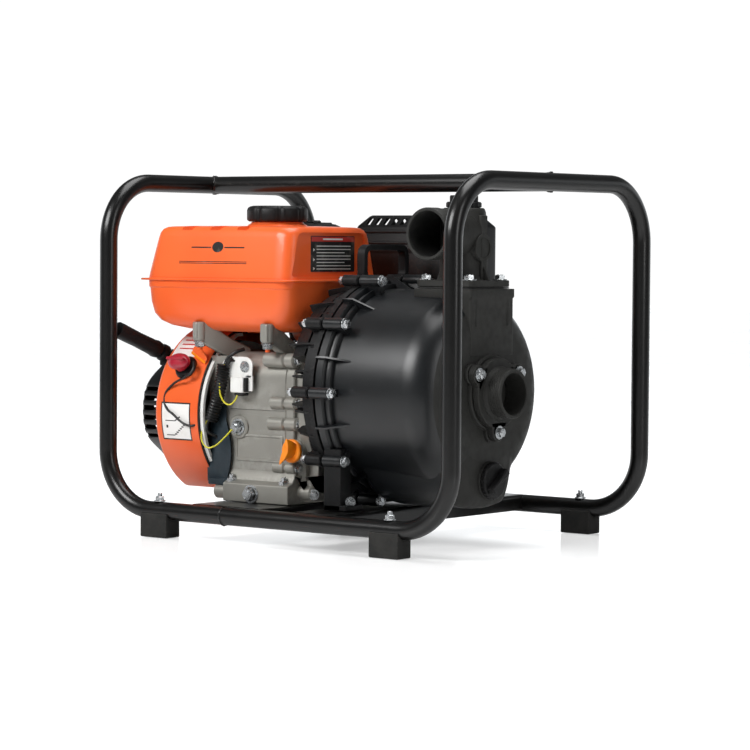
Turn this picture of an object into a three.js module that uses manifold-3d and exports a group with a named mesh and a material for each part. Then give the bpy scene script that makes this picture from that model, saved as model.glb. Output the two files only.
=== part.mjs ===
// Portable fire pump: a small petrol engine and a self-priming pump in a tube carrying frame.
// Millimetres. The origin is the middle of the footprint on the floor. +X runs along the crankshaft
// from the recoil starter to the pump, +Y points to the cylinder side, +Z is up.
import * as THREE from "three";
import { mergeVertices } from "three/addons/utils/BufferGeometryUtils.js";
import Module from "manifold-3d";

const wasm = await Module();
wasm.setup();

// ---------------------------------------------------------------- driving dimensions
const GAP = 0.3; // clearance between neighbouring solids
const SIDES = 16; // sides of an ordinary round piece

const TUBE_R = 11;
const TUBE_WALL = 2;
const BEND_R = 72; // centreline radius of every bend in the frame tube
const HOOP_X = 266.4; // plane of each end hoop
const RAIL_Y = 195.7; // bottom rails and uprights
const RAIL_Z = 32.2;
const TOP_Z = 436.2;
const SEAM_X = -73; // where the two hoops' bottom rails are welded together

const FOOT = { x: 178.9, length: 43, width: 25.4, height: 29.4 };
const BASE_Z = 43.5; // top of both crossbars
const CROSSBAR = { depth: 19.5, sheet: 3, reach: 190 };

const CRANK = { y: -40, z: 150 };
const SHAFT_R = 12.5;
const CYLINDER = { x: -95, tilt: 25, bore: 68, stroke: 54, rod: 84, deck: 131 };
const CASE_X = [-164, -40]; // engine block, along the crankshaft
const COVER_X = [-40 + GAP, 0]; // crankcase cover
const CASE_NEAR_Y = -122;
const CASE_BOTTOM_Z = 65;
const SHROUD = { x: [-232, -165], r: 110, bottom: 54, top: 249, wall: 2.5 };
const RECOIL = { x: [-277, -232 - GAP], r: 90, wall: 2.5 };
const REEL_R = 58;

const TANK = { x: [-258, -12], y: [-152, 32], bottom: 252, seam: 316, top: 382, corner: 18, wall: 2.5 };
const FILLER = { x: -96, y: -73, capR: 38, neckR: 26 };

const RING = { x: 45, y: -40, z: 185, r: 133, boltR: 139, bolts: 10, bossR: 7.5 };
const DRUM = { r: 121, front: 207, round: 40, wall: 6 };
const SUCTION = { z: 186, bore: 25, pipeR: 29.5, flangeX: 221, rimX: 243, boltR: 46.5 };
const RISER = { x: 166.7, y: -40, r: 28, top: 405.3 };
const OUTLET = { z: 374, r: 31, bore: 26, faceY: -108 };
const PAD = { x: [125, 208], y: [-81, 1], top: 309.3 };
const DRAIN = { z: 81.5, r: 22 };

// ---------------------------------------------------------------- solids from three.js geometry
function solid(geometry) {
  geometry.deleteAttribute("normal");
  geometry.deleteAttribute("uv");
  const merged = mergeVertices(geometry, 1e-3);
  const index = merged.index.array;
  const triangles = [];
  for (let i = 0; i < index.length; i += 3) {
    const [a, b, c] = [index[i], index[i + 1], index[i + 2]];
    if (a !== b && b !== c && c !== a) triangles.push(a, b, c);
  }
  const mesh = new wasm.Mesh({
    numProp: 3,
    vertProperties: new Float32Array(merged.attributes.position.array),
    triVerts: new Uint32Array(triangles),
  });
  return new wasm.Manifold(mesh);
}

function join(first, ...rest) {
  return rest.reduce((whole, piece) => whole.add(piece), first);
}

function cut(body, ...tools) {
  return tools.reduce((whole, tool) => whole.subtract(tool), body);
}

function box([x0, x1], [y0, y1], [z0, z1]) {
  const geometry = new THREE.BoxGeometry(x1 - x0, y1 - y0, z1 - z0);
  geometry.translate((x0 + x1) / 2, (y0 + y1) / 2, (z0 + z1) / 2);
  return solid(geometry);
}

// A round bar along an axis. "at" holds the other two coordinates, in X, Y, Z order.
function bar(axis, radius, [from, to], [a, b], sides = SIDES, endRadius = radius) {
  const geometry = new THREE.CylinderGeometry(endRadius, radius, to - from, sides);
  const middle = (from + to) / 2;
  if (axis === "x") geometry.rotateZ(-Math.PI / 2).translate(middle, a, b);
  if (axis === "y") geometry.translate(a, middle, b);
  if (axis === "z") geometry.rotateX(Math.PI / 2).translate(a, b, middle);
  return solid(geometry);
}

function ring(axis, outer, inner, [from, to], at, sides = SIDES) {
  return cut(bar(axis, outer, [from, to], at, sides), bar(axis, inner, [from - 1, to + 1], at, sides));
}

// A closed outline with rounded corners; every point is [u, v] or [u, v, cornerRadius].
function outline(points, radius = 0) {
  const shape = new THREE.Shape();
  points.forEach(([u, v, own], i) => {
    const corner = new THREE.Vector2(u, v);
    const before = new THREE.Vector2(...points[(i + points.length - 1) % points.length]);
    const after = new THREE.Vector2(...points[(i + 1) % points.length]);
    const r = own ?? radius;
    const start = corner.clone().add(before.sub(corner).setLength(r));
    const end = corner.clone().add(after.sub(corner).setLength(r));
    if (i === 0) shape.moveTo(start.x, start.y);
    else shape.lineTo(start.x, start.y);
    if (r > 0) shape.quadraticCurveTo(corner.x, corner.y, end.x, end.y);
  });
  shape.closePath();
  return shape;
}

function rectangle([u0, u1], [v0, v1], radius) {
  return outline([[u0, v0], [u1, v0], [u1, v1], [u0, v1]], radius);
}

function circle(u, v, radius) {
  return new THREE.Shape().absarc(u, v, radius, 0, 2 * Math.PI);
}

// Extrudes a shape along an axis: along x it is drawn in Y, Z; along y in X, Z; along z in X, Y.
function prism(axis, shape, [from, to], curveSegments = 4) {
  const geometry = new THREE.ExtrudeGeometry(shape, {
    depth: to - from,
    bevelEnabled: false,
    curveSegments,
  });
  const place = new THREE.Matrix4();
  if (axis === "x") place.set(0, 0, 1, from, 1, 0, 0, 0, 0, 1, 0, 0, 0, 0, 0, 1);
  if (axis === "y") place.set(1, 0, 0, 0, 0, 0, -1, to, 0, 1, 0, 0, 0, 0, 0, 1);
  if (axis === "z") place.makeTranslation(0, 0, from);
  geometry.applyMatrix4(place);
  return solid(geometry);
}

// Revolves a profile of [x, radius] points about an axis parallel to X through [y, z].
function turned(profile, [y, z], sides = 30) {
  const points = profile.map(([x, r]) => new THREE.Vector2(r, x));
  const geometry = new THREE.LatheGeometry(points, sides);
  geometry.rotateZ(-Math.PI / 2).translate(0, y, z);
  const made = solid(geometry);
  return made.volume() < 0 ? solid(flipped(geometry)) : made;
}

function flipped(geometry) {
  const index = geometry.index.array;
  for (let i = 0; i < index.length; i += 3) {
    [index[i], index[i + 1]] = [index[i + 1], index[i]];
  }
  return geometry;
}

// A box-like shell of stacked rounded rectangles: each level is { z, x, y, r }.
function loft(levels, perCorner = 4) {
  const rings = levels.map(({ z, x, y, r }) => {
    const points = [];
    const [left, right, near, far] = [x[0] + r, x[1] - r, y[0] + r, y[1] - r];
    const corners = [[right, far], [left, far], [left, near], [right, near]];
    corners.forEach(([cx, cy], quarter) => {
      for (let i = 0; i <= perCorner; i += 1) {
        const angle = (quarter + i / perCorner) * (Math.PI / 2);
        points.push([cx + r * Math.cos(angle), cy + r * Math.sin(angle), z]);
      }
    });
    return points;
  });
  const count = rings[0].length;
  const positions = rings.flat(2);
  const index = [];
  for (let level = 0; level + 1 < rings.length; level += 1) {
    for (let i = 0; i < count; i += 1) {
      const a = level * count + i;
      const b = level * count + ((i + 1) % count);
      index.push(a, b, b + count, a, b + count, a + count);
    }
  }
  const last = (rings.length - 1) * count;
  for (let i = 1; i + 1 < count; i += 1) {
    index.push(0, i + 1, i);
    index.push(last, last + i, last + i + 1);
  }
  const geometry = new THREE.BufferGeometry();
  geometry.setAttribute("position", new THREE.Float32BufferAttribute(positions, 3));
  geometry.setIndex(index);
  return solid(geometry);
}

// The levels of a rounded rectangle box that shrinks by an inset at each height: [z, inset].
function shrinking({ x, y, r }, steps) {
  return steps.map(([z, inset]) => ({
    z,
    x: [x[0] + inset, x[1] - inset],
    y: [y[0] + inset, y[1] - inset],
    r: Math.max(r - inset / 2, 2),
  }));
}

// A path of straight runs joined by circular bends, with its stations only where it turns.
class BentPath extends THREE.Curve {
  constructor(corners, bendRadius, stepsPerBend = 5) {
    super();
    const points = corners.map((corner) => new THREE.Vector3(...corner));
    this.stations = [points[0]];
    for (let i = 1; i + 1 < points.length; i += 1) {
      const back = points[i - 1].clone().sub(points[i]).normalize();
      const ahead = points[i + 1].clone().sub(points[i]).normalize();
      const half = back.angleTo(ahead) / 2;
      const centre = back.clone().add(ahead).setLength(bendRadius / Math.sin(half)).add(points[i]);
      const start = back.clone().multiplyScalar(bendRadius / Math.tan(half)).add(points[i]);
      const normal = new THREE.Vector3().crossVectors(ahead, back).normalize();
      for (let step = 0; step <= stepsPerBend; step += 1) {
        const angle = ((Math.PI - 2 * half) * step) / stepsPerBend;
        this.stations.push(start.clone().sub(centre).applyAxisAngle(normal, angle).add(centre));
      }
    }
    this.stations.push(points.at(-1));
  }

  get steps() {
    return this.stations.length - 1;
  }

  getUtoTmapping(u) {
    return u;
  }

  getPoint(t, target = new THREE.Vector3()) {
    const place = Math.min(Math.max(t, 0), 1) * this.steps;
    const i = Math.min(Math.floor(place), this.steps - 1);
    return target.lerpVectors(this.stations[i], this.stations[i + 1], place - i);
  }
}

function sweep(path, shape, curveSegments = 5) {
  const options = { extrudePath: path, steps: path.steps, bevelEnabled: false, curveSegments };
  return solid(new THREE.ExtrudeGeometry(shape, options));
}

function pipe(path, outer, inner, curveSegments = 4) {
  const shape = circle(0, 0, outer);
  shape.holes.push(circle(0, 0, inner));
  return sweep(path, shape, curveSegments);
}

// Turns a solid drawn with the cylinder along +Z at the origin into its tilted place.
function onCylinder(body) {
  return body.rotate([CYLINDER.tilt - 90, 0, 0]).translate([CYLINDER.x, CRANK.y, CRANK.z]);
}

// Turns a solid drawn along +Z at the origin to point along a direction from a place.
function pointed(body, from, direction) {
  const turn = new THREE.Quaternion().setFromUnitVectors(
    new THREE.Vector3(0, 0, 1),
    new THREE.Vector3(...direction).normalize(),
  );
  const matrix = new THREE.Matrix4().compose(new THREE.Vector3(...from), turn, new THREE.Vector3(1, 1, 1));
  return body.transform(matrix.elements);
}

// ---------------------------------------------------------------- materials and the group
const pump = new THREE.Group();
const FINISHES = {
  frameBlack: { color: 0x1c1c1a, roughness: 0.3, metalness: 0.1 },
  rubber: { color: 0x3f3f3d, roughness: 0.8, metalness: 0 },
  zinc: { color: 0xc8c8c4, roughness: 0.3, metalness: 1 },
  castAluminium: { color: 0xa9a59b, roughness: 0.5, metalness: 0.7 },
  steel: { color: 0x8c8f92, roughness: 0.35, metalness: 1 },
  orangePaint: { color: 0xeb551e, roughness: 0.2, metalness: 0.1 },
  blackPlastic: { color: 0x1e2022, roughness: 0.45, metalness: 0 },
  guardBlack: { color: 0x161616, roughness: 0.5, metalness: 0.3 },
  signalRed: { color: 0xb3122f, roughness: 0.3, metalness: 0 },
  fillerYellow: { color: 0xff9a14, roughness: 0.35, metalness: 0 },
  slateSteel: { color: 0x2c363c, roughness: 0.45, metalness: 0.6 },
  whitePlastic: { color: 0xe6e6e2, roughness: 0.4, metalness: 0 },
  sealRubber: { color: 0x262626, roughness: 0.8, metalness: 0 },
  ceramic: { color: 0xf0efe8, roughness: 0.25, metalness: 0 },
  filterFoam: { color: 0xb9a878, roughness: 0.95, metalness: 0 },
};

function place(name, body, finish) {
  const { vertProperties, triVerts } = body.getMesh();
  const geometry = new THREE.BufferGeometry();
  geometry.setAttribute("position", new THREE.BufferAttribute(vertProperties, 3));
  geometry.setIndex(new THREE.BufferAttribute(triVerts, 1));
  geometry.computeVertexNormals();
  const mesh = new THREE.Mesh(geometry, new THREE.MeshStandardMaterial(FINISHES[finish]));
  mesh.name = name;
  pump.add(mesh);
}

// ---------------------------------------------------------------- carrying frame
function railTools(clearance) {
  const reach = HOOP_X;
  return [-RAIL_Y, RAIL_Y].map((y) => bar("x", TUBE_R + clearance, [-reach, reach], [y, RAIL_Z]));
}

function endHoop(side) {
  const end = side < 0 ? SEAM_X - GAP / 2 : SEAM_X + GAP / 2;
  const x = side * HOOP_X;
  const corners = [
    [end, -RAIL_Y, RAIL_Z],
    [x, -RAIL_Y, RAIL_Z],
    [x, -RAIL_Y, TOP_Z],
    [x, RAIL_Y, TOP_Z],
    [x, RAIL_Y, RAIL_Z],
    [end, RAIL_Y, RAIL_Z],
  ];
  const tube = pipe(new BentPath(corners, BEND_R), TUBE_R, TUBE_R - TUBE_WALL);
  const holes = [-RAIL_Y, RAIL_Y].map((y) => bar("z", 3.3, [0, BASE_Z + 10], [side * FOOT.x, y], 12));
  return cut(tube, ...holes);
}

function topRail() {
  const solidRail = bar("x", TUBE_R, [-HOOP_X, HOOP_X], [0, TOP_Z]);
  const hollow = bar("x", TUBE_R - TUBE_WALL, [-HOOP_X, HOOP_X], [0, TOP_Z]);
  const copes = [-HOOP_X, HOOP_X].map((x) => bar("y", TUBE_R + GAP, [-30, 30], [x, TOP_Z]));
  return cut(solidRail, hollow, ...copes);
}

function crossbar([x0, x1]) {
  const y = [-CROSSBAR.reach, CROSSBAR.reach];
  const { depth, sheet } = CROSSBAR;
  const outer = box([x0, x1], y, [BASE_Z - depth, BASE_Z]);
  const hollow = box([x0 + sheet, x1 - sheet], [-300, 300], [BASE_Z - depth - 1, BASE_Z - sheet]);
  return cut(outer, hollow, ...railTools(GAP));
}

function foot(x, y) {
  const half = FOOT.width / 2;
  const block = box([x - FOOT.length / 2, x + FOOT.length / 2], [y - half, y + half], [0, FOOT.height]);
  return cut(block, ...railTools(GAP), bar("z", 3.3, [8, 40], [x, y], 12));
}

function footBolt(x, y) {
  const top = RAIL_Z + TUBE_R + GAP;
  return join(
    bar("z", 3, [9, top + 1], [x, y], 12),
    bar("z", 7, [top, top + 1.5], [x, y]),
    bar("z", 5.8, [top + 1, top + 6.5], [x, y], 6),
  );
}

place("end_hoop_recoil_side", endHoop(-1), "frameBlack");
place("end_hoop_pump_side", endHoop(1), "frameBlack");
place("top_rail", topRail(), "frameBlack");
place("crossbar_engine", crossbar([-132, -22]), "frameBlack");
place("crossbar_pump", crossbar([28, 95]), "frameBlack");
for (const [end, sideX] of [["recoil", -1], ["pump", 1]]) {
  for (const [side, sideY] of [["near", -1], ["far", 1]]) {
    place(`foot_${end}_${side}`, foot(sideX * FOOT.x, sideY * RAIL_Y), "rubber");
    place(`foot_bolt_${end}_${side}`, footBolt(sideX * FOOT.x, sideY * RAIL_Y), "zinc");
  }
}

// ---------------------------------------------------------------- engine
const crankAt = [CRANK.y, CRANK.z];
const CASE_OUTLINE = [
  [CASE_NEAR_Y, CASE_BOTTOM_Z],
  [57, CASE_BOTTOM_Z],
  [57, 140, 20],
  [28, 200, 20],
  [-20, 227, 14],
  [-104, 227, 10],
  [CASE_NEAR_Y, 205, 10],
];
const CHAMBER_R = 56;

function crankChamber([x0, x1]) {
  const sump = box([x0, x1], [CASE_NEAR_Y + 10, 46], [73, CRANK.z]);
  return join(bar("x", CHAMBER_R, [x0, x1], crankAt, 28), sump);
}

function coverBolts() {
  return [[-113, 219], [-113, 167], [-113, 88], [20, 88], [30, 176]];
}

function coolingFin(d, halfWidth) {
  return prism("z", rectangle([-halfWidth, halfWidth], [-49, 49], 8), [d, d + 3.4], 1);
}

function engineBlock() {
  const body = prism("x", outline(CASE_OUTLINE, 4), CASE_X);
  const footing = box([-128, -24], [-137, 57], [BASE_Z + GAP, CASE_BOTTOM_Z + 1]);
  let barrel = bar("z", CYLINDER.bore / 2 + 7, [48, CYLINDER.deck], [0, 0], 20);
  for (let d = 72; d <= 122; d += 12) barrel = barrel.add(coolingFin(d, 52));
  const deck = prism("z", rectangle([-50, 50], [-46, 46], 8), [CYLINDER.deck - 6, CYLINDER.deck], 2);
  const bore = bar("z", CYLINDER.bore / 2, [30, CYLINDER.deck + 1], [0, 0], 32);
  const bosses = coverBolts().map(([y, z]) => bar("x", 8, [-73, CASE_X[1]], [y, z], 12));
  const armSeats = TANK_ARMS.map(({ to }) => bar("z", 8, [215, 228], [to[0], to[1]], 12));
  const gearcase = crankChamber([CASE_X[0] + 12, CASE_X[1] + 1]);
  return cut(
    join(body, footing, onCylinder(join(barrel, deck)), ...bosses, ...armSeats),
    gearcase,
    onCylinder(bore),
    bar("x", SHAFT_R + GAP, [CASE_X[0] - 1, CASE_X[0] + 20], crankAt),
    bar("y", 6.3, [-138, -112], OIL_DRAIN_AT, 16),
  );
}

function crankcaseCover() {
  const plate = prism("x", outline(CASE_OUTLINE, 4), COVER_X);
  const bosses = coverBolts().map(([y, z]) => bar("x", 8, [COVER_X[0], -24], [y, z], 12));
  const filler = bar("y", 13, [-128, -105], [DIPSTICK.x, DIPSTICK.z]);
  return cut(
    join(plate, filler, ...bosses),
    crankChamber([COVER_X[0] - 1, -8]),
    box([COVER_X[0] - 1, 1], [-200, 200], [CASE_BOTTOM_Z - 1, CASE_BOTTOM_Z + 1 + GAP]),
    bar("x", SHAFT_R + GAP, [-10, 1], crankAt),
    bar("y", 9, [-129, -100], [DIPSTICK.x, DIPSTICK.z], 16),
  );
}

const TANK_ARMS = [
  { name: "tank_bracket_recoil_side", from: [-165, -138, 242], to: [-138, -92, 237.5] },
  { name: "tank_bracket_pump_side", from: [-54, -138, 242], to: [-50, -92, 237.5] },
];
const DIPSTICK = { x: -22, z: 110 };
const OIL_DRAIN_AT = [-82, 54.5];

// The plug's hole leans out of the combustion chamber, clear of the head cover.
const PLUG = { x: 12, lean: 31 };
function alongPlug(body) {
  return onCylinder(body.rotate([0, PLUG.lean, 0]).translate([PLUG.x, 0, CYLINDER.deck]));
}

function cylinderHead() {
  const base = CYLINDER.deck + GAP;
  let head = prism("z", rectangle([-50, 50], [-46, 46], 10), [base, 172], 2);
  for (const d of [140, 154]) head = head.add(coolingFin(d, 54));
  const chamber = bar("z", 28, [base - 1, base + 9], [0, 0]);
  const plugHole = join(bar("z", 7.3, [-2, 60], [0, 0], 16), bar("z", 13, [32, 80], [0, 0], 16));
  return cut(onCylinder(cut(head, chamber)), alongPlug(plugHole));
}

function headCover() {
  const steps = [[172 + GAP, 0], [176, 0], [176, 3], [196, 5], [203, 12]];
  return onCylinder(loft(shrinking({ x: [-47, 14], y: [-38, 38], r: 10 }, steps), 3));
}

function sparkPlug() {
  const hex = bar("z", 10.3, [33, 44], [0, 0], 6);
  return alongPlug(join(bar("z", 7, [2, 34], [0, 0], 16), hex, bar("z", 4.8, [43, 66], [0, 0], 16)));
}

function plugCap() {
  const boot = bar("z", 11, [50, 82], [0, 0], 20);
  const elbow = bar("y", 8, [-2, 26], [0, 74], 16);
  return alongPlug(cut(join(boot, elbow), bar("z", 5.2, [49, 68], [0, 0], 16)));
}

// Drawn with the crankpin towards the cylinder, at top dead centre.
const THROW = CYLINDER.stroke / 2;
const CRANKPIN_R = 10;
const WEB_R = 40;
function crankshaft() {
  const lean = (CYLINDER.tilt * Math.PI) / 180;
  const pinAt = [CRANK.y + THROW * Math.cos(lean), CRANK.z + THROW * Math.sin(lean)];
  return join(
    bar("x", SHAFT_R, [-238, CYLINDER.x - 20], crankAt),
    bar("x", SHAFT_R, [CYLINDER.x + 20, 66], crankAt),
    bar("x", WEB_R, [CYLINDER.x - 27, CYLINDER.x - 12], crankAt, 32),
    bar("x", WEB_R, [CYLINDER.x + 12, CYLINDER.x + 27], crankAt, 32),
    bar("x", CRANKPIN_R, [CYLINDER.x - 13, CYLINDER.x + 13], pinAt),
  );
}

const PIN_AT_TOP = THROW + CYLINDER.rod; // wrist pin's distance from the crank axis at top dead centre
const PIN_R = 9;
function piston() {
  const r = CYLINDER.bore / 2 - GAP;
  const crown = bar("z", r, [PIN_AT_TOP - 14, PIN_AT_TOP + 18], [0, 0], 32);
  const hollow = bar("z", r - 5, [PIN_AT_TOP - 15, PIN_AT_TOP + 12], [0, 0], 24);
  const bosses = box([-(r - 4), r - 4], [-13, 13], [PIN_AT_TOP - 13, PIN_AT_TOP + 13]);
  const rodRoom = box([-13, 13], [-40, 40], [PIN_AT_TOP - 20, PIN_AT_TOP + 12.2]);
  const pinHole = bar("x", PIN_R + GAP, [-50, 50], [0, PIN_AT_TOP]);
  const shell = cut(crown, hollow);
  const pads = cut(bosses, rodRoom).intersect(crown);
  return onCylinder(cut(join(shell, pads), pinHole));
}

function wristPin() {
  return onCylinder(ring("x", PIN_R, 5, [-29, 29], [0, PIN_AT_TOP]));
}

// Shortened below the wrist pin: the big end would meet the crankpin, which is the linkage's open pivot.
function connectingRod() {
  const eye = bar("x", 12, [-10, 10], [0, PIN_AT_TOP]);
  const shank = box([-8, 8], [-8, 8], [PIN_AT_TOP - 18, PIN_AT_TOP - 5]);
  return onCylinder(cut(join(eye, shank), bar("x", PIN_R + GAP, [-11, 11], [0, PIN_AT_TOP])));
}

const FAN_BLADES = 10;
function flywheel() {
  const wheel = turned(
    [
      [-214, 0],
      [-214, 24],
      [-204, 24],
      [-204, 88],
      [-176, 88],
      [-176, 74],
      [-194, 74],
      [-194, 24],
      [-176, 24],
      [-176, 0],
    ],
    crankAt,
  );
  const blades = [];
  for (let i = 0; i < FAN_BLADES; i += 1) {
    const blade = box([-224, -203], [40, 91], [-1.5, 1.5]).rotate([(360 / FAN_BLADES) * i, 0, 0]);
    blades.push(blade.translate([0, CRANK.y, CRANK.z]));
  }
  return cut(join(wheel, ...blades), bar("x", SHAFT_R + GAP, [-230, -170], crankAt));
}

function shroudOutline(inset) {
  const round = bar("x", SHROUD.r - inset, [0, 1], crankAt, 48);
  const duct = box([0, 1], [CRANK.y, 98 - inset], [SHROUD.bottom + inset, 225 - inset]);
  const limits = box([0, 1], [-200, 200], [SHROUD.bottom + inset, SHROUD.top - inset]);
  return join(round, duct).intersect(limits);
}

function fanShroud() {
  const [x0, x1] = SHROUD.x;
  const outer = shroudOutline(0).scale([x1 - x0, 1, 1]).translate([x0, 0, 0]);
  const hollowX0 = x0 + SHROUD.wall;
  const hollow = shroudOutline(SHROUD.wall).scale([x1 - hollowX0 + 1, 1, 1]).translate([hollowX0, 0, 0]);
  return cut(outer, hollow, bar("x", 72, [x0 - 1, x0 + 10], crankAt, 32));
}

const RECOIL_SLOTS = 8;
function recoilHousing() {
  const [x0, x1] = RECOIL.x;
  const { r, wall } = RECOIL;
  const cup = turned(
    [
      [x0, 0],
      [x0, r - 11],
      [x0 + 4, r - 3],
      [x0 + 12, r],
      [x1, r],
      [x1, r - wall],
      [x0 + 13, r - wall],
      [x0 + 6, r - wall - 3],
      [x0 + wall, r - 14],
      [x0 + wall, 0],
    ],
    crankAt,
  );
  const slots = [];
  for (let i = 0; i < RECOIL_SLOTS; i += 1) {
    const slot = box([x0 - 1, x0 + 6], [34, 58], [-4, 4]).rotate([(360 / RECOIL_SLOTS) * i, 0, 0]);
    slots.push(slot.translate([0, CRANK.y, CRANK.z]));
  }
  return join(cut(cup, ...slots), bar("x", 8, [x0 + 1, -243], crankAt, 16));
}

function recoilReel() {
  const flanges = [[-263, -260], [-248, -245]].map((span) => bar("x", REEL_R, span, crankAt, 24));
  const drum = bar("x", REEL_R - 8, [-261, -247], crankAt, 24);
  return cut(join(drum, ...flanges), bar("x", 8 + GAP, [-270, -240], crankAt));
}

const HANDLE = { from: [-255, -115, 225], to: [-267, -170, 249], r: 8.5 };
function pullHandle() {
  const from = new THREE.Vector3(...HANDLE.from);
  const span = new THREE.Vector3(...HANDLE.to).sub(from);
  const length = span.length();
  const grip = join(
    bar("z", HANDLE.r, [3, length - 3], [0, 0], 16),
    bar("z", HANDLE.r - 3, [0, 3.01], [0, 0], 16, HANDLE.r),
    bar("z", HANDLE.r, [length - 3.01, length], [0, 0], 16, HANDLE.r - 3),
  );
  return pointed(grip, HANDLE.from, span.toArray());
}

function sidePlate() {
  const edge = [[-163, 66], [-128, 66], [-130, 96], [-117, 118]];
  const points = [...edge, [-120, 163], [-140, 158], [-158, 120], [-163, 100]];
  return prism("y", outline(points, 3), [-127, -125], 2);
}

// The switch stands on the shroud's near upper side and turns about the surface's own normal.
const SWITCH = { x: -190, angle: 30.3 };
function onShroud(body) {
  const angle = (SWITCH.angle * Math.PI) / 180;
  const direction = [0, -Math.cos(angle), Math.sin(angle)];
  const from = [SWITCH.x, CRANK.y - SHROUD.r * Math.cos(angle), CRANK.z + SHROUD.r * Math.sin(angle)];
  return pointed(body, from, direction);
}

function switchBase() {
  return onShroud(bar("z", 14, [0.6, 7], [0, 0], 20));
}

function switchKnob() {
  return onShroud(join(bar("z", 11, [7.3, 12], [0, 0], 20), loft([
    { z: 11, x: [-14, 14], y: [-9, 9], r: 8 },
    { z: 19, x: [-13, 13], y: [-7, 7], r: 6 },
    { z: 23, x: [-9, 9], y: [-4, 4], r: 3 },
  ])));
}

function moduleBracket() {
  const points = [[-134, 198], [-87, 198], [-86, 220], [-96, 225], [-134, 217]];
  const plate = prism("y", outline(points, 3), [-128, -126], 2);
  return join(plate, bar("y", 5.8, [-132, -127], [-100, 213], 6));
}

function oilAlertUnit() {
  return box([-116, -92], [-138, -124], [178, 197]);
}

place("engine_block", engineBlock(), "castAluminium");
place("crankcase_cover", crankcaseCover(), "castAluminium");
place("cylinder_head", cylinderHead(), "castAluminium");
place("head_cover", headCover(), "steel");
place("spark_plug", sparkPlug(), "ceramic");
place("plug_cap", plugCap(), "sealRubber");
place("crankshaft", crankshaft(), "steel");
place("piston", piston(), "castAluminium");
place("wrist_pin", wristPin(), "steel");
place("connecting_rod", connectingRod(), "castAluminium");
place("flywheel", flywheel(), "castAluminium");
place("fan_shroud", fanShroud(), "orangePaint");
place("recoil_housing", recoilHousing(), "blackPlastic");
place("recoil_reel", recoilReel(), "blackPlastic");
place("pull_handle", pullHandle(), "blackPlastic");
place("side_plate", sidePlate(), "slateSteel");
place("stop_switch_base", switchBase(), "blackPlastic");
place("stop_switch_knob", switchKnob(), "signalRed");
place("module_bracket", moduleBracket(), "zinc");
place("oil_alert_unit", oilAlertUnit(), "whitePlastic");

function dipstick() {
  const at = [DIPSTICK.x, DIPSTICK.z];
  const wings = box([DIPSTICK.x - 17, DIPSTICK.x + 17], [-146, -134], [DIPSTICK.z - 4, DIPSTICK.z + 4]);
  return join(
    bar("y", 15, [-136, -128 - GAP], at),
    wings,
    bar("y", 8.7, [-129, -112], at, 16),
    bar("y", 2.5, [-113, -76], at, 8),
  );
}

function drainBolt() {
  return join(
    bar("y", 6, [-138, -118], OIL_DRAIN_AT, 16),
    bar("y", 10, [-139, -137 - GAP], OIL_DRAIN_AT),
    bar("y", 8.6, [-146, -138.5], OIL_DRAIN_AT, 6),
  );
}

place("dipstick", dipstick(), "fillerYellow");
place("oil_drain_bolt", drainBolt(), "zinc");

// ---------------------------------------------------------------- tank, carburettor, air cleaner, exhaust
function fuelTank() {
  const { x, y, bottom, seam, top, corner, wall } = TANK;
  const steps = [
    [bottom, 20],
    [bottom + 6, 8],
    [bottom + 22, 3.5],
    [seam - 1.5, 3],
    [seam - 1.5, 0],
    [seam + 1.5, 0],
    [seam + 1.5, 3],
    [seam + 30, 4],
    [top - 10, 7],
    [top - 3, 11],
    [top, 18],
  ];
  const shell = loft(shrinking({ x, y, r: corner }, steps));
  const inner = steps.filter(([, inset]) => inset > 0).map(([z, inset]) => [z, inset + wall]);
  inner[0][0] += wall;
  inner[inner.length - 1][0] -= wall;
  const hollow = loft(shrinking({ x, y, r: corner - wall }, inner));
  const at = [FILLER.x, FILLER.y];
  const neck = bar("z", FILLER.neckR, [top - 4, top + 6], at);
  return cut(join(shell, neck), hollow, bar("z", FILLER.neckR - 3, [top - 10, top + 7], at));
}

function fuelCap() {
  const at = [FILLER.x, FILLER.y];
  const bottom = TANK.top + 6 + GAP;
  return join(
    bar("z", FILLER.capR, [bottom, bottom + 15], at, 32),
    bar("z", FILLER.capR, [bottom + 15, bottom + 20], at, 32, FILLER.capR - 4),
    bar("z", FILLER.neckR - 3.5, [bottom - 9, bottom + 1], at),
  );
}

function tankBracket({ from, to }) {
  const start = new THREE.Vector3(...from);
  const span = new THREE.Vector3(...to).sub(start);
  const yaw = (Math.atan2(span.y, span.x) * 180) / Math.PI;
  const run = Math.hypot(span.x, span.y);
  const under = [[-9, -9], [2, -9], [run - 4, span.z - 9], [run + 9, span.z - 9]];
  const points = [...under, [run + 9, span.z + 9], [9, 9], [-9, 9]];
  return prism("y", outline(points, 2), [-6, 6], 2).rotate([0, 0, yaw]).translate(from);
}

const CARB = { x: [-196, -153], y: [75, 118], z: [232, 284] };
const PORT_AT = [92, 250];
const HORN_AT = [-174, 97];
function carburettor() {
  const body = box([CARB.x[0] + 4, CARB.x[1] - 2], [CARB.y[0] + 4, CARB.y[1] - 4], [240, 274]);
  return cut(
    join(
      body,
      bar("x", 17, [CARB.x[0], -149 - GAP], PORT_AT),
      bar("z", 17, [228, 246], HORN_AT),
      bar("z", 18, [270, CARB.z[1]], HORN_AT),
      bar("y", 4, [110, 122], [-185, 262], 12),
      bar("y", 4, [110, 122], [-165, 244], 12),
    ),
    bar("x", 12, [-180, -140], PORT_AT),
    bar("z", 13, [248, 290], HORN_AT),
  );
}

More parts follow.
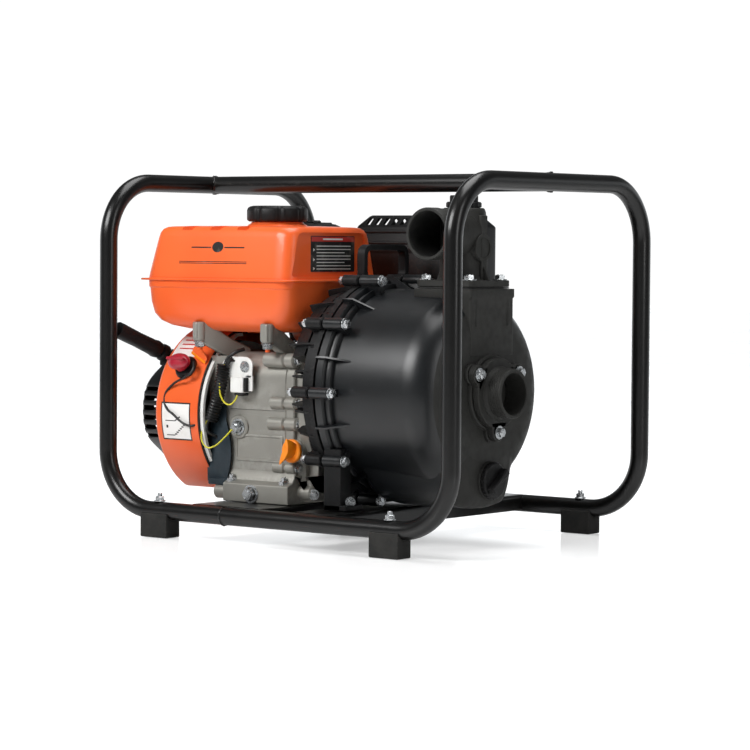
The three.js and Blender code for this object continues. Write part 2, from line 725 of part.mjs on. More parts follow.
function levers(pivotX, pivotZ, tipX, tipZ) {
  const from = new THREE.Vector2(pivotX, pivotZ);
  const side = new THREE.Vector2(tipX, tipZ).sub(from);
  const across = new THREE.Vector2(-side.y, side.x).setLength(4);
  const points = [
    [from.x + across.x, from.y + across.y],
    [from.x - across.x, from.y - across.y],
    [tipX - across.x, tipZ - across.y],
    [tipX + across.x, tipZ + across.y],
  ];
  const arm = prism("y", outline(points.reverse()), [124, 127]);
  const hub = bar("y", 7, [122 + GAP, 127.5], [pivotX, pivotZ], 16);
  return join(arm, hub, bar("y", 5, [123, 134], [tipX, tipZ], 16));
}

// The throttle lever turns about a short post on top of the shroud's duct.
const THROTTLE = { x: -205, y: 50, z: 226 };
function throttleLever() {
  const { x, y, z } = THROTTLE;
  const arm = prism("z", rectangle([x - 5, x + 5], [y - 5, y + 45], 4), [z + 6, z + 9], 2);
  return join(
    bar("z", 4, [z + GAP, z + 8], [x, y], 12),
    bar("z", 8, [z + 4, z + 10], [x, y], 16),
    arm,
    bar("z", 6, [z + 5, z + 20], [x, y + 40], 16),
  );
}

const CLEANER = { x: [-228, -140], y: [62, 150], bottom: 300, seam: 318, top: 388, corner: 22, wall: 2.5 };
function airCleanerBase() {
  const { x, y, bottom, seam, corner } = CLEANER;
  const tray = loft(shrinking({ x, y, r: corner }, [[bottom, 8], [bottom + 6, 0], [seam, 0]]));
  const inside = loft(shrinking({ x, y, r: corner - 3 }, [[bottom + 4, 10], [seam + 1, 4]]));
  const horn = bar("z", 18, [CARB.z[1] + GAP, bottom + 1], HORN_AT);
  return cut(join(tray, horn), inside, bar("z", 13, [280, 320], HORN_AT));
}

function airCleanerCover() {
  const { x, y, seam, top, corner, wall } = CLEANER;
  const steps = [[seam + GAP, 0], [seam + 40, 1], [top - 22, 4], [top - 8, 10], [top, 24]];
  const inner = steps.map(([z, inset]) => [z, inset + wall]);
  inner[0][0] -= 1;
  inner.at(-1)[0] -= wall;
  return cut(
    loft(shrinking({ x, y, r: corner }, steps)),
    loft(shrinking({ x, y, r: corner - wall }, inner)),
  );
}

function filterElement() {
  const { x, y, bottom, top } = CLEANER;
  const outer = shrinking({ x, y, r: 18 }, [[bottom + 5, 12], [top - 26, 12]]);
  const inner = shrinking({ x, y, r: 10 }, [[bottom, 26], [top - 33, 26]]);
  return cut(loft(outer), loft(inner));
}

const GUARD = { x: [-70, 95], y: [60, 130], z: [310, 398] };
function silencer() {
  const { x, y } = GUARD;
  const can = { x: [x[0] + 9, x[1] - 9], y: [y[0] + 7, y[1] - 7], r: 14 };
  const path = new BentPath([[-41 + GAP, 96, 240], [5, 96, 240], [5, 96, 330]], 24, 4);
  const inside = new BentPath([[-45, 96, 240], [5, 96, 240], [5, 96, 332]], 24, 4);
  const body = loft(shrinking(can, [[316, 5], [321, 0], [380, 0], [386, 6]]));
  const hollow = loft(shrinking(can, [[317.5, 7], [322, 1.5], [379, 1.5], [384.5, 8]]));
  return cut(
    join(body, sweep(path, circle(0, 0, 12))),
    hollow,
    sweep(inside, circle(0, 0, 10)),
    bar("y", 8, [GUARD.y[1] - 14, GUARD.y[1]], [60, 345], 16),
  );
}

function silencerGuard() {
  const { x, y, z } = GUARD;
  const outer = loft(shrinking({ x, y, r: 6 }, [[z[0], 0], [z[1] - 14, 0], [z[1], 14]]), 2);
  const inside = [[z[0] - 1, 1.5], [z[1] - 14.6, 1.5], [z[1] - 1.5, 14.6]];
  const inner = loft(shrinking({ x, y, r: 5 }, inside), 2);
  const slots = [];
  for (let slotX = x[0] + 20; slotX < x[1] - 20; slotX += 16) {
    slots.push(box([slotX, slotX + 9], [y[0] - 1, y[0] + 12], [z[1] - 12, z[1] - 4]));
  }
  const outlet = bar("y", 14, [y[1] - 5, y[1] + 5], [60, 345], 16);
  return cut(outer, inner, outlet, ...slots);
}

place("fuel_tank", fuelTank(), "orangePaint");
place("fuel_cap", fuelCap(), "blackPlastic");
for (const arm of TANK_ARMS) place(arm.name, tankBracket(arm), "castAluminium");
place("carburettor", carburettor(), "castAluminium");
place("choke_lever", levers(-185, 262, -185, 290), "steel");
place("fuel_tap_lever", levers(-165, 244, -143, 244), "steel");
place("throttle_lever", throttleLever(), "steel");
place("air_cleaner_base", airCleanerBase(), "blackPlastic");
place("air_cleaner_cover", airCleanerCover(), "blackPlastic");
place("air_filter_element", filterElement(), "filterFoam");
place("silencer", silencer(), "steel");
place("silencer_guard", silencerGuard(), "guardBlack");

// ---------------------------------------------------------------- pump
const ringAt = [RING.y, RING.z];

function ringBosses(span) {
  const bosses = [];
  for (let i = 0; i < RING.bolts; i += 1) {
    const angle = (2 * Math.PI * (i + 0.5)) / RING.bolts;
    const at = [RING.y + RING.boltR * Math.sin(angle), RING.z + RING.boltR * Math.cos(angle)];
    bosses.push(bar("x", RING.bossR, span, at, 8));
  }
  return bosses;
}

const SEAL = { x: [12, 30], r: 24 };
// The guard loop standing on the bracket's ring, between the tank and the discharge elbow.
const LOOP = { x: [20, 32], y: [-60, 29], top: 361, corner: 16, band: 7 };
function pumpBracket() {
  const plate = turned(
    [[GAP, 0], [GAP, 62], [19, 112], [19, RING.r], [44, RING.r], [44, 120], [30, 112], [30, 0]],
    ringAt,
  );
  const loop = prism("x", rectangle(LOOP.y, [300, LOOP.top], LOOP.corner), LOOP.x);
  const { y, top, corner, band } = LOOP;
  const window = rectangle([y[0] + band, y[1] - band], [322, top - band], corner - band);
  return cut(
    join(plate, ...ringBosses([19, 44]), cut(loop, prism("x", window, [0, 60]))),
    bar("x", SHAFT_R + GAP, [-1, 40], crankAt),
    bar("x", SEAL.r + GAP, [SEAL.x[0], 40], crankAt),
  );
}

function shaftSeal() {
  return ring("x", SEAL.r, SHAFT_R + GAP, [SEAL.x[0] + GAP, SEAL.x[1]], crankAt);
}

function casingGasket() {
  return ring("x", 127, 121, [44 + GAP, 46], ringAt, 36);
}

function roundedFront(radius, front, round, steps = 5) {
  const arc = [];
  for (let i = 0; i <= steps; i += 1) {
    const angle = (i / steps) * (Math.PI / 2);
    arc.push([front - round + round * Math.sin(angle), radius - round + round * Math.cos(angle)]);
  }
  return arc;
}

// The legs under the two lowest side bosses, measured out from the ring's axis.
const LEG = { inner: 94, outer: 114, toe: 84 };
function pumpBody() {
  const back = 46 + GAP;
  const { r, front, round, wall } = DRUM;
  const flange = [[back, 0], [back, RING.r], [64, RING.r], [66, r + 3]];
  const outer = turned([...flange, ...roundedFront(r, front, round), [front, 0]], ringAt);
  const inside = front - wall - 1;
  const mouth = [[back - 1, 0], [back - 1, r - wall]];
  const dome = roundedFront(r - wall, inside, round - wall);
  const hollow = turned([...mouth, ...dome, [inside, 0]], ringAt);
  const sump = box([75, 203], [-100, 20], [54, 100]);
  const pad = box(PAD.x, PAD.y, [230, PAD.top]);
  const legs = [-1, 1].flatMap((side) => {
    const upright = [RING.y + side * LEG.inner, RING.y + side * LEG.outer].sort((a, b) => a - b);
    const toe = [RING.y + side * LEG.toe, RING.y + side * LEG.outer].sort((a, b) => a - b);
    return [box([back, 72], upright, [BASE_Z + GAP, 110]), box([back, 80], toe, [BASE_Z + GAP, 50])];
  });
  const suctionBoss = bar("x", 50, [195, 212], [RING.y, SUCTION.z], 36);
  const drainBoss = bar("x", DRAIN.r - 3, [195, 210], [RING.y, DRAIN.z]);
  return cut(
    join(outer, sump, pad, suctionBoss, drainBoss, ...legs, ...ringBosses([back, 76])),
    hollow,
    bar("x", SUCTION.bore, [190, 220], [RING.y, SUCTION.z], 32),
    bar("z", 22, [280, PAD.top + 1], [RISER.x, RISER.y], 32),
    bar("x", 9, [180, 212], [RING.y, DRAIN.z], 16),
  );
}

// A snail outline about the crank axis whose radius grows over one turn.
function spiral(startR, endR, steps = 24) {
  const points = [];
  for (let i = 0; i <= steps; i += 1) {
    const share = i / steps;
    const radius = startR + (endR - startR) * share;
    const angle = Math.PI / 2 + 2 * Math.PI * share;
    points.push([CRANK.y + radius * Math.cos(angle), CRANK.z + radius * Math.sin(angle)]);
  }
  return outline(points);
}

function volute() {
  const outer = prism("x", spiral(62, 74), [30 + GAP, 70], 1);
  const hollow = prism("x", spiral(58, 70), [29, 66], 1);
  const throat = box([40, 62], [CRANK.y + 4, CRANK.y + 30], [CRANK.z + 50, CRANK.z + 80]);
  return cut(outer, hollow, bar("x", 24, [60, 75], crankAt), throat);
}

function impeller() {
  const disc = [[34, 0], [34, 17], [40, 17], [40, 54], [45, 54]];
  const hub = turned([...disc, [47, 22], [60, 17], [72, 10], [74, 0]], crankAt, 24);
  const vanes = [];
  for (let i = 0; i < 6; i += 1) {
    const vane = box([44, 62], [18, 53], [-2, 2]).rotate([60 * i, 0, 0]);
    vanes.push(vane.translate([0, CRANK.y, CRANK.z]));
  }
  return cut(join(hub, ...vanes), bar("x", SHAFT_R + GAP, [30, 66 + GAP], crankAt));
}

const FLAP = { x: [192, 197], pivotZ: 217 };
function checkFlap() {
  const disc = bar("x", 29, FLAP.x, [RING.y, SUCTION.z], 28);
  const tab = box(FLAP.x, [RING.y - 9, RING.y + 9], [205, FLAP.pivotZ + 2.5]);
  return join(disc, tab, bar("x", 14, [187, 193], [RING.y, SUCTION.z]));
}

function suctionPort() {
  const at = [RING.y, SUCTION.z];
  const flange = [212 + GAP, SUCTION.flangeX];
  const ears = [90, 210, 330].map((degrees) => {
    const angle = (degrees * Math.PI) / 180 + Math.PI;
    const ear = [at[0] + SUCTION.boltR * Math.cos(angle), at[1] + SUCTION.boltR * Math.sin(angle)];
    return bar("x", 11, flange, ear, 16);
  });
  const body = join(
    bar("x", 42, flange, at, 32),
    ...ears,
    bar("x", SUCTION.pipeR, [SUCTION.flangeX - 1, SUCTION.rimX], at, 36),
  );
  return cut(body, bar("x", SUCTION.bore, [200, 260], at, 32));
}

function dischargeGasket() {
  const plate = prism("z", rectangle(PAD.x, PAD.y, 8), [PAD.top + GAP, PAD.top + 1.8], 2);
  return cut(plate, bar("z", 24, [300, 320], [RISER.x, RISER.y]));
}

function dischargeElbow() {
  const at = [RISER.x, RISER.y];
  const base = PAD.top + 1.8 + GAP;
  const flange = prism("z", rectangle(PAD.x, PAD.y, 8), [base, 319.5], 2);
  const body = join(
    flange,
    bar("z", RISER.r, [318, RISER.top], at, 32),
    bar("y", OUTLET.r, [OUTLET.faceY, RISER.y], [RISER.x, OUTLET.z], 36),
    bar("x", 16.5, [RISER.x, 197], [RISER.y - 2, 358]),
  );
  return cut(
    body,
    bar("z", 22, [300, RISER.top - 5], at, 32),
    bar("z", 16, [RISER.top - 10, RISER.top + 1], at),
    bar("y", OUTLET.bore, [OUTLET.faceY - 1, RISER.y - 15], [RISER.x, OUTLET.z], 36),
  );
}

function fillPlug() {
  const at = [RISER.x, RISER.y];
  const seat = RISER.top + GAP;
  const wings = box([RISER.x - 19, RISER.x + 19], [RISER.y - 4, RISER.y + 4], [seat + 6, seat + 15]);
  return join(bar("z", 15.4, [seat - 10, seat + 1], at), bar("z", 21, [seat, seat + 7], at), wings);
}

function drainPlug() {
  const at = [RING.y, DRAIN.z];
  const wings = box([216, 226], [RING.y - 20, RING.y + 20], [DRAIN.z - 5, DRAIN.z + 5]);
  return join(bar("x", 8.6, [196, 211], at, 16), bar("x", DRAIN.r, [210 + GAP, 217], at), wings);
}

place("pump_bracket", pumpBracket(), "blackPlastic");
place("shaft_seal", shaftSeal(), "sealRubber");
place("casing_gasket", casingGasket(), "sealRubber");
place("pump_body", pumpBody(), "blackPlastic");
place("volute", volute(), "blackPlastic");
place("impeller", impeller(), "blackPlastic");
place("check_flap", checkFlap(), "sealRubber");
place("suction_port", suctionPort(), "blackPlastic");
place("discharge_gasket", dischargeGasket(), "sealRubber");
place("discharge_elbow", dischargeElbow(), "blackPlastic");
place("fill_plug", fillPlug(), "blackPlastic");
place("drain_plug", drainPlug(), "blackPlastic");

export default pump;
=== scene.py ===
import math

import bmesh
import bpy
from mathutils import Matrix, Vector, noise


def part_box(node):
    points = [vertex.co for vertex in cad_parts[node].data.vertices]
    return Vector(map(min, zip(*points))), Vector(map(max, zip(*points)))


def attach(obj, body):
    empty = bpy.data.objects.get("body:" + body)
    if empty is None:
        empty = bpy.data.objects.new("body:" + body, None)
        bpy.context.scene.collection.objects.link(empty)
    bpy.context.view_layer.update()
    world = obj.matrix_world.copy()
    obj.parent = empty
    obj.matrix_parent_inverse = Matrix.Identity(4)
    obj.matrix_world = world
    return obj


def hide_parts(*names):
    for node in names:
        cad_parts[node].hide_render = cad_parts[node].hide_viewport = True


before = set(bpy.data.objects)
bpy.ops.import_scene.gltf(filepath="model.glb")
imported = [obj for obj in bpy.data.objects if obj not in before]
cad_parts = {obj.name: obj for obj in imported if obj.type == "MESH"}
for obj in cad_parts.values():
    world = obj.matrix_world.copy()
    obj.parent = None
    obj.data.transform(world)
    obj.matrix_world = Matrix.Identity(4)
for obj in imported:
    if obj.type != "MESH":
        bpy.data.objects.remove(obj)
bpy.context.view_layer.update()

# Lengths are millimetres in the CAD frame until a mesh is made; +X runs from the recoil starter to
# the pump, and the near side, with the tank's panel and the stop switch, faces -Y.
MM = 0.001
TUBE_R = 11  # the carrying frame's tube, and the centre line of its bends
BEND_R = 72


# ---------------------------------------------------------------- places taken from the CAD nodes
def span(node):
    """A CAD node's box at rest: ((x0, x1), (y0, y1), (z0, z1))."""
    low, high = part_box(node)
    return [(low[i] / MM, high[i] / MM) for i in range(3)]


def mid(pair):
    return (pair[0] + pair[1]) / 2


# Centre lines, as the two coordinates across them.
CRANK = tuple(mid(pair) for pair in span("crankshaft")[1:])
RING = tuple(mid(pair) for pair in span("casing_gasket")[1:])
SUCTION = (RING[0], RING[1] + 1)
RISER = tuple(mid(pair) for pair in span("discharge_gasket")[:2])


# ---------------------------------------------------------------- building closed bodies
class Shape:
    """Closed bodies gathered for one mesh; every face holds the number of its finish."""

    def __init__(self):
        self.points, self.faces, self.finishes = [], [], []

    def face(self, corners, finish):
        self.faces.append(tuple(corners))
        self.finishes.append(finish)

    def body(self, rings, finish=0, loop=False):
        """A skin through rings of points, capped at both ends or joined end to end."""
        start, count, levels = len(self.points), len(rings[0]), len(rings)
        self.points += [Vector(point) for ring in rings for point in ring]
        for level in range(levels if loop else levels - 1):
            a = start + level * count
            b = start + (level + 1) % levels * count
            for i in range(count):
                j = (i + 1) % count
                self.face((a + i, a + j, b + j, b + i), finish)
        if not loop:
            last = start + (levels - 1) * count
            self.face([start + i for i in reversed(range(count))], finish)
            self.face([last + i for i in range(count)], finish)
        return self

    def add(self, other, place=Matrix.Identity(4), finish=None):
        start = len(self.points)
        self.points += [place @ point for point in other.points]
        for corners, own in zip(other.faces, other.finishes):
            self.face([start + i for i in corners], own if finish is None else finish)
        return self


def turns(count):
    """The angles of a full circle in equal steps."""
    return [2 * math.pi * i / count for i in range(count)]


def sweep(start, end, steps):
    """Evenly spaced numbers from start to end, both included."""
    return [start + (end - start) * i / steps for i in range(steps + 1)]


def lay(axis, t, u, v):
    """A point at t along an axis; u and v are the other two coordinates in X, Y, Z order."""
    return {"x": (t, u, v), "y": (u, t, v), "z": (u, v, t)}[axis]


def turned(axis, profile, at, sides=64, loop=False, finish=0, wave=None):
    """Revolves (along, radius) pairs about a line parallel to an axis; wave adds to the radius."""
    rings = []
    for t, radius in profile:
        ring = []
        for angle in turns(sides):
            r = radius + (wave(angle, t) if wave else 0)
            ring.append(lay(axis, t, at[0] + r * math.cos(angle), at[1] + r * math.sin(angle)))
        rings.append(ring)
    return Shape().body(rings, finish, loop)


def bar(axis, radius, ends, at, sides=40, chamfer=0.8):
    """A solid cylinder with chamfered ends."""
    a, b = ends
    profile = [(a, radius - chamfer), (a + chamfer, radius), (b - chamfer, radius), (b, radius - chamfer)]
    return turned(axis, profile, at, sides)


def sleeve(axis, outer, inner, ends, at, sides=48, chamfer=0.8):
    """A hollow cylinder, open at both ends."""
    a, b = ends
    c = chamfer
    profile = [(a, inner + c), (a, outer - c), (a + c, outer), (b - c, outer), (b, outer - c), (b, inner + c)]
    return turned(axis, profile + [(b - c, inner), (a + c, inner)], at, sides, loop=True)


def prism(axis, outline, ends, chamfer=0.0, finish=0):
    """An outline drawn out along an axis between two ends."""
    a, b = ends
    if not chamfer:
        levels = [(a, outline), (b, outline)]
    else:
        small = inset(outline, chamfer)
        levels = [(a, small), (a + chamfer, outline), (b - chamfer, outline), (b, small)]
    return Shape().body([[lay(axis, t, u, v) for u, v in loop] for t, loop in levels], finish)


def framed(axis, inner, outer, ends):
    """A flat ring between two outlines with equally many points."""
    a, b = ends
    skins = ((a, inner), (a, outer), (b, outer), (b, inner))
    return Shape().body([[lay(axis, t, u, v) for u, v in outline] for t, outline in skins], loop=True)


def inset(outline, distance):
    """Moves a closed outline towards its inside."""
    count = len(outline)
    pairs = zip(outline, outline[1:] + outline[:1])
    side = 1 if sum(a[0] * b[1] - b[0] * a[1] for a, b in pairs) > 0 else -1
    moved = []
    for i in range(count):
        before, here, after = (Vector(outline[(i + k) % count]) for k in (-1, 0, 1))
        first, second = (here - before).normalized(), (after - here).normalized()
        normal = Vector((-first.y - second.y, first.x + second.x)) * side
        reach = distance / max(normal.length / 2, 0.3)
        moved.append(tuple(here + normal.normalized() * reach))
    return moved


def rounded(corners, radius=0.0, steps=5):
    """An outline with rounded corners; every corner is (u, v) or (u, v, its own radius)."""
    outline = []
    count = len(corners)
    for i, corner in enumerate(corners):
        here = Vector(corner[:2])
        before, after = (Vector(corners[(i + k) % count][:2]) for k in (-1, 1))
        r = corner[2] if len(corner) > 2 else radius
        if r <= 0:
            outline.append(tuple(here))
            continue
        start = here + (before - here).normalized() * r
        end = here + (after - here).normalized() * r
        for k in range(steps + 1):
            t = k / steps
            outline.append(tuple(start * (1 - t) ** 2 + here * 2 * t * (1 - t) + end * t * t))
    return outline


def rectangle(u, v, radius=0.0, steps=5):
    return rounded([(u[0], v[0]), (u[1], v[0]), (u[1], v[1]), (u[0], v[1])], radius, steps)


def block(x, y, z, radius=1.0):
    return prism("z", rectangle(x, y, radius, 3), z, chamfer=min(radius, 1.0))


def stack(levels, steps=8):
    """Rings of rounded rectangles: every level is (z, (x0, x1), (y0, y1), corner radius)."""
    rings = []
    for z, x, y, r in levels:
        ring = []
        centres = [(x[1] - r, y[1] - r), (x[0] + r, y[1] - r), (x[0] + r, y[0] + r), (x[1] - r, y[0] + r)]
        for quarter, (cx, cy) in enumerate(centres):
            for i in range(steps + 1):
                angle = (quarter + i / steps) * math.pi / 2
                ring.append((cx + r * math.cos(angle), cy + r * math.sin(angle), z))
        rings.append(ring)
    return rings


def shrinking(x, y, corner, steps):
    """Levels of a rounded rectangle drawn in by an inset at each height: (z, inset)."""
    return [
        (z, (x[0] + d, x[1] - d), (y[0] + d, y[1] - d), max(corner - 0.4 * d, 3))
        for z, d in steps
    ]


def bends(corners, radius, steps=14):
    """A path of straight runs joined by circular bends."""
    points = [Vector(c) for c in corners]
    path = [points[0]]
    for i in range(1, len(points) - 1):
        back = (points[i - 1] - points[i]).normalized()
        ahead = (points[i + 1] - points[i]).normalized()
        half = back.angle(ahead) / 2
        centre = points[i] + (back + ahead).normalized() * (radius / math.sin(half))
        start = points[i] + back * (radius / math.tan(half)) - centre
        turn = ahead.cross(back).normalized()
        for k in range(steps + 1):
            path.append(centre + Matrix.Rotation((math.pi - 2 * half) * k / steps, 3, turn) @ start)
    return path + [points[-1]]


def spline(corners, steps=8):
    """A smooth path through points."""
    points = [Vector(c) for c in corners]
    points = [2 * points[0] - points[1]] + points + [2 * points[-1] - points[-2]]
    path = []
    for i in range(1, len(points) - 2):
        a, b, c, d = points[i - 1 : i + 3]
        square, cube = a * 2 - b * 5 + c * 4 - d, b * 3 - a - c * 3 + d
        for k in range(steps):
            t = k / steps
            path.append((b * 2 + (c - a) * t + square * t**2 + cube * t**3) / 2)
    return path + [points[-2]]


def tube(path, radius, sides=20, closed=False):
    """A round skin along a path; radius is a number or one number for each point."""
    path = [Vector(p) for p in path]
    count = len(path)
    radii = radius if isinstance(radius, list) else [radius] * count
    side = None
    rings = []
    for i, here in enumerate(path):
        before = path[i - 1] if closed or i else here
        after = path[(i + 1) % count] if closed or i + 1 < count else here
        along = (after - before).normalized()
        if side is None:
            side = along.orthogonal().normalized()
        side = (side - along * side.dot(along)).normalized()
        across = along.cross(side)
        rings.append([here + (side * math.cos(a) + across * math.sin(a)) * radii[i] for a in turns(sides)])
    return Shape().body(rings, loop=closed)


def toward(place, direction):
    """Turns a shape drawn along +Z at the origin to point along a direction from a place."""
    turn = Vector(direction).to_track_quat("Z", "Y").to_matrix().to_4x4()
    return Matrix.Translation(Vector(place)) @ turn


def hexagon(radius, ends):
    """A hexagonal prism along +Z, chamfered more at its top than at its seat."""
    a, b = ends
    profile = [(a, radius - 0.3), (a + 0.3, radius), (b - 0.9, radius), (b, radius - 0.9)]
    return turned("z", profile, (0, 0), 6)


def bolt(radius, head, washer, stud=0.0):
    """A hexagon head on a washer, drawn along +Z; a nut when a stud stands out of it."""
    seat = 1.4
    made = sleeve("z", washer, washer - 3, (0, seat), (0, 0), 28, 0.3)
    made.add(hexagon(radius, (1.2, seat + head)))
    if stud:
        made.add(bar("z", radius * 0.52, (1, seat + head + stud), (0, 0), 16, 0.6))
    else:
        made.add(bar("z", radius * 0.62, (seat + head - 0.2, seat + head + 0.5), (0, 0), 20, 0.4))
    return made


def new_object(name, shape):
    """An object in the scene whose mesh is a shape, with its faces pointing out."""
    mesh = bpy.data.meshes.new(name)
    mesh.from_pydata([point * MM for point in shape.points], [], shape.faces)
    work = bmesh.new()
    work.from_mesh(mesh)
    bmesh.ops.recalc_face_normals(work, faces=work.faces)
    work.to_mesh(mesh)
    work.free()
    made = bpy.data.objects.new(name, mesh)
    bpy.context.scene.collection.objects.link(made)
    return made


def piece(name, shape, finishes, stands_for=(), body="frame", bevel=0.0, crease=38, carve=None):
    """A visible piece riding on a body; it hides the CAD nodes that it stands for."""
    made = new_object(name, shape)
    for finish in finishes:
        made.data.materials.append(finish)
    made.data.polygons.foreach_set("material_index", shape.finishes)
    if carve:
        cut_out(made, carve)
    made.data.shade_smooth()
    if bevel:
        edges = made.modifiers.new("edges", "BEVEL")
        edges.width = bevel * MM
        edges.segments = 3
        edges.limit_method = "ANGLE"
        edges.angle_limit = math.radians(crease)
        edges.harden_normals = True
    else:
        made.data.set_sharp_from_angle(angle=math.radians(crease))
    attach(made, body)
    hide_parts(*stands_for)
    return made


def cut_out(made, tool_shape):
    """Takes a shape out of an object's mesh."""
    tool = new_object("tool", tool_shape)
    step = made.modifiers.new("cut", "BOOLEAN")
    step.object = tool
    step.solver = "EXACT"
    step.use_self = True
    graph = bpy.context.evaluated_depsgraph_get()
    carved = bpy.data.meshes.new_from_object(made.evaluated_get(graph))
    made.modifiers.clear()
    made.data = carved
    bpy.data.objects.remove(tool)


# ---------------------------------------------------------------- finishes
def linear(code):
    """A "#rrggbb" colour as linear red, green, blue and alpha."""
    channels = [int(code[i : i + 2], 16) / 255 for i in (1, 3, 5)]
    return [c / 12.92 if c <= 0.04045 else ((c + 0.055) / 1.055) ** 2.4 for c in channels] + [1.0]


class Finish:
    """A node material built in layers over one Principled BSDF."""

    def __init__(self, name, colour, roughness, metallic=0.0, coat=0.0, specular=0.5):
        self.material = bpy.data.materials.new(name)
        self.material.use_nodes = True
        self.tree = self.material.node_tree
        self.surface = self.tree.nodes["Principled BSDF"]
        self.surface.inputs["Metallic"].default_value = metallic
        self.surface.inputs["Coat Weight"].default_value = coat
        self.surface.inputs["Coat Roughness"].default_value = 0.06
        self.surface.inputs["Specular IOR Level"].default_value = specular
        self.place = self.node("ShaderNodeTexCoord").outputs["Object"]
        self.colour = self.node("ShaderNodeRGB").outputs[0]
        self.colour.default_value = linear(colour)
        self.roughness = self.node("ShaderNodeValue").outputs[0]
        self.roughness.default_value = roughness
        self.normal = None

    def node(self, kind, **settings):
        made = self.tree.nodes.new(kind)
        for key, value in settings.items():
            setattr(made, key, value)
        return made

    def link(self, source, target):
        self.tree.links.new(source, target)

    def noise(self, scale, detail=3.0, stretch=(1, 1, 1)):
        mapping = self.node("ShaderNodeMapping")
        mapping.inputs["Scale"].default_value = stretch
        self.link(self.place, mapping.inputs["Vector"])
        texture = self.node("ShaderNodeTexNoise")
        texture.inputs["Scale"].default_value = scale
        texture.inputs["Detail"].default_value = detail
        self.link(mapping.outputs["Vector"], texture.inputs["Vector"])
        return texture.outputs["Fac"]

    def cells(self, scale):
        texture = self.node("ShaderNodeTexVoronoi")
        texture.inputs["Scale"].default_value = scale
        self.link(self.place, texture.inputs["Vector"])
        return texture.outputs["Distance"]

    def mask(self, value, low, high, top=1.0):
        """0 below low, top above high."""
        ranged = self.node("ShaderNodeMapRange")
        ranged.inputs["From Min"].default_value = low
        ranged.inputs["From Max"].default_value = high
        ranged.inputs["To Max"].default_value = top
        self.link(value, ranged.inputs["Value"])
        return ranged.outputs["Result"]

    def times(self, a, b):
        product = self.node("ShaderNodeMath", operation="MULTIPLY")
        self.link(a, product.inputs[0])
        self.link(b, product.inputs[1])
        return product.outputs[0]

    def tint(self, colour, mask):
        """Turns the colour to another where the mask is 1; 6 and 7 are the mix node's two colours."""
        mix = self.node("ShaderNodeMix", data_type="RGBA")
        self.link(mask, mix.inputs[0])
        self.link(self.colour, mix.inputs[6])
        mix.inputs[7].default_value = linear(colour)
        self.colour = mix.outputs[2]

    def dull(self, roughness, mask):
        """Turns the roughness to another where the mask is 1; 2 and 3 are the mix node's two numbers."""
        mix = self.node("ShaderNodeMix", data_type="FLOAT")
        self.link(mask, mix.inputs[0])
        self.link(self.roughness, mix.inputs[2])
        mix.inputs[3].default_value = roughness
        self.roughness = mix.outputs[0]

    def raised(self, height, depth, strength=1.0):
        """Lifts the surface by up to a depth in millimetres."""
        bump = self.node("ShaderNodeBump")
        bump.inputs["Strength"].default_value = strength
        bump.inputs["Distance"].default_value = depth * MM
        self.link(height, bump.inputs["Height"])
        if self.normal:
            self.link(self.normal, bump.inputs["Normal"])
        self.normal = bump.outputs["Normal"]

    def edges(self, low=0.53, high=0.6):
        """1 on outside edges."""
        return self.mask(self.node("ShaderNodeNewGeometry").outputs["Pointiness"], low, high)

    def upward(self):
        """1 on faces that look up."""
        split = self.node("ShaderNodeSeparateXYZ")
        self.link(self.node("ShaderNodeNewGeometry").outputs["Normal"], split.inputs[0])
        return self.mask(split.outputs["Z"], 0.3, 0.9)

    def dusty(self, colour, amount):
        """Patches of dust on the faces that look up."""
        self.tint(colour, self.times(self.upward(), self.mask(self.noise(55, 6), 0.45, 0.8, amount)))

    def done(self):
        """Joins the layers to the surface."""
        self.link(self.colour, self.surface.inputs["Base Color"])
        self.link(self.roughness, self.surface.inputs["Roughness"])
        if self.normal:
            self.link(self.normal, self.surface.inputs["Normal"])
        return self.material


def gloss_frame_paint():
    paint = Finish("frame_paint", "#0a0a0a", 0.28, coat=0.08, specular=0.45)
    paint.tint("#131211", paint.mask(paint.noise(18), 0.4, 0.7, 0.6))
    paint.dull(0.34, paint.mask(paint.noise(70, 6), 0.5, 0.75, 0.5))
    chips = paint.times(paint.edges(0.56, 0.66), paint.mask(paint.noise(240), 0.55, 0.7, 0.5))
    paint.tint("#3a3733", chips)
    paint.raised(paint.noise(190, 2), 0.2, 0.2)
    paint.dusty("#3b3935", 0.06)
    return paint.done()


def foot_rubber():
    rubber = Finish("foot_rubber", "#262625", 0.8, specular=0.25)
    rubber.tint("#343331", rubber.mask(rubber.noise(45, 5), 0.4, 0.75, 0.7))
    rubber.tint("#4b4945", rubber.times(rubber.edges(), rubber.mask(rubber.noise(300), 0.4, 0.7, 0.7)))
    rubber.raised(rubber.noise(900, 4), 0.3, 0.5)
    return rubber.done()


def bright_zinc():
    zinc = Finish("zinc_fasteners", "#c9ccce", 0.22, metallic=1.0)
    zinc.tint("#8b8a7c", zinc.mask(zinc.noise(420, 5), 0.55, 0.8, 0.6))
    zinc.dull(0.45, zinc.mask(zinc.noise(700), 0.4, 0.7))
    zinc.raised(zinc.noise(1500, 2), 0.05, 0.4)
    return zinc.done()


def cast_aluminium():
    metal = Finish("cast_aluminium", "#9a9891", 0.42, metallic=0.5, specular=0.35)
    metal.tint("#85837d", metal.mask(metal.noise(22, 4), 0.45, 0.75, 0.5))
    metal.tint("#aeaca6", metal.times(metal.edges(), metal.mask(metal.noise(160), 0.35, 0.6, 0.6)))
    metal.tint("#63605a", metal.mask(metal.noise(700, 3), 0.64, 0.76, 0.16))
    metal.dull(0.54, metal.mask(metal.noise(60, 5), 0.4, 0.7))
    metal.raised(metal.noise(1300, 3), 0.07, 0.5)
    metal.raised(metal.noise(120, 3), 0.25, 0.2)
    return metal.done()


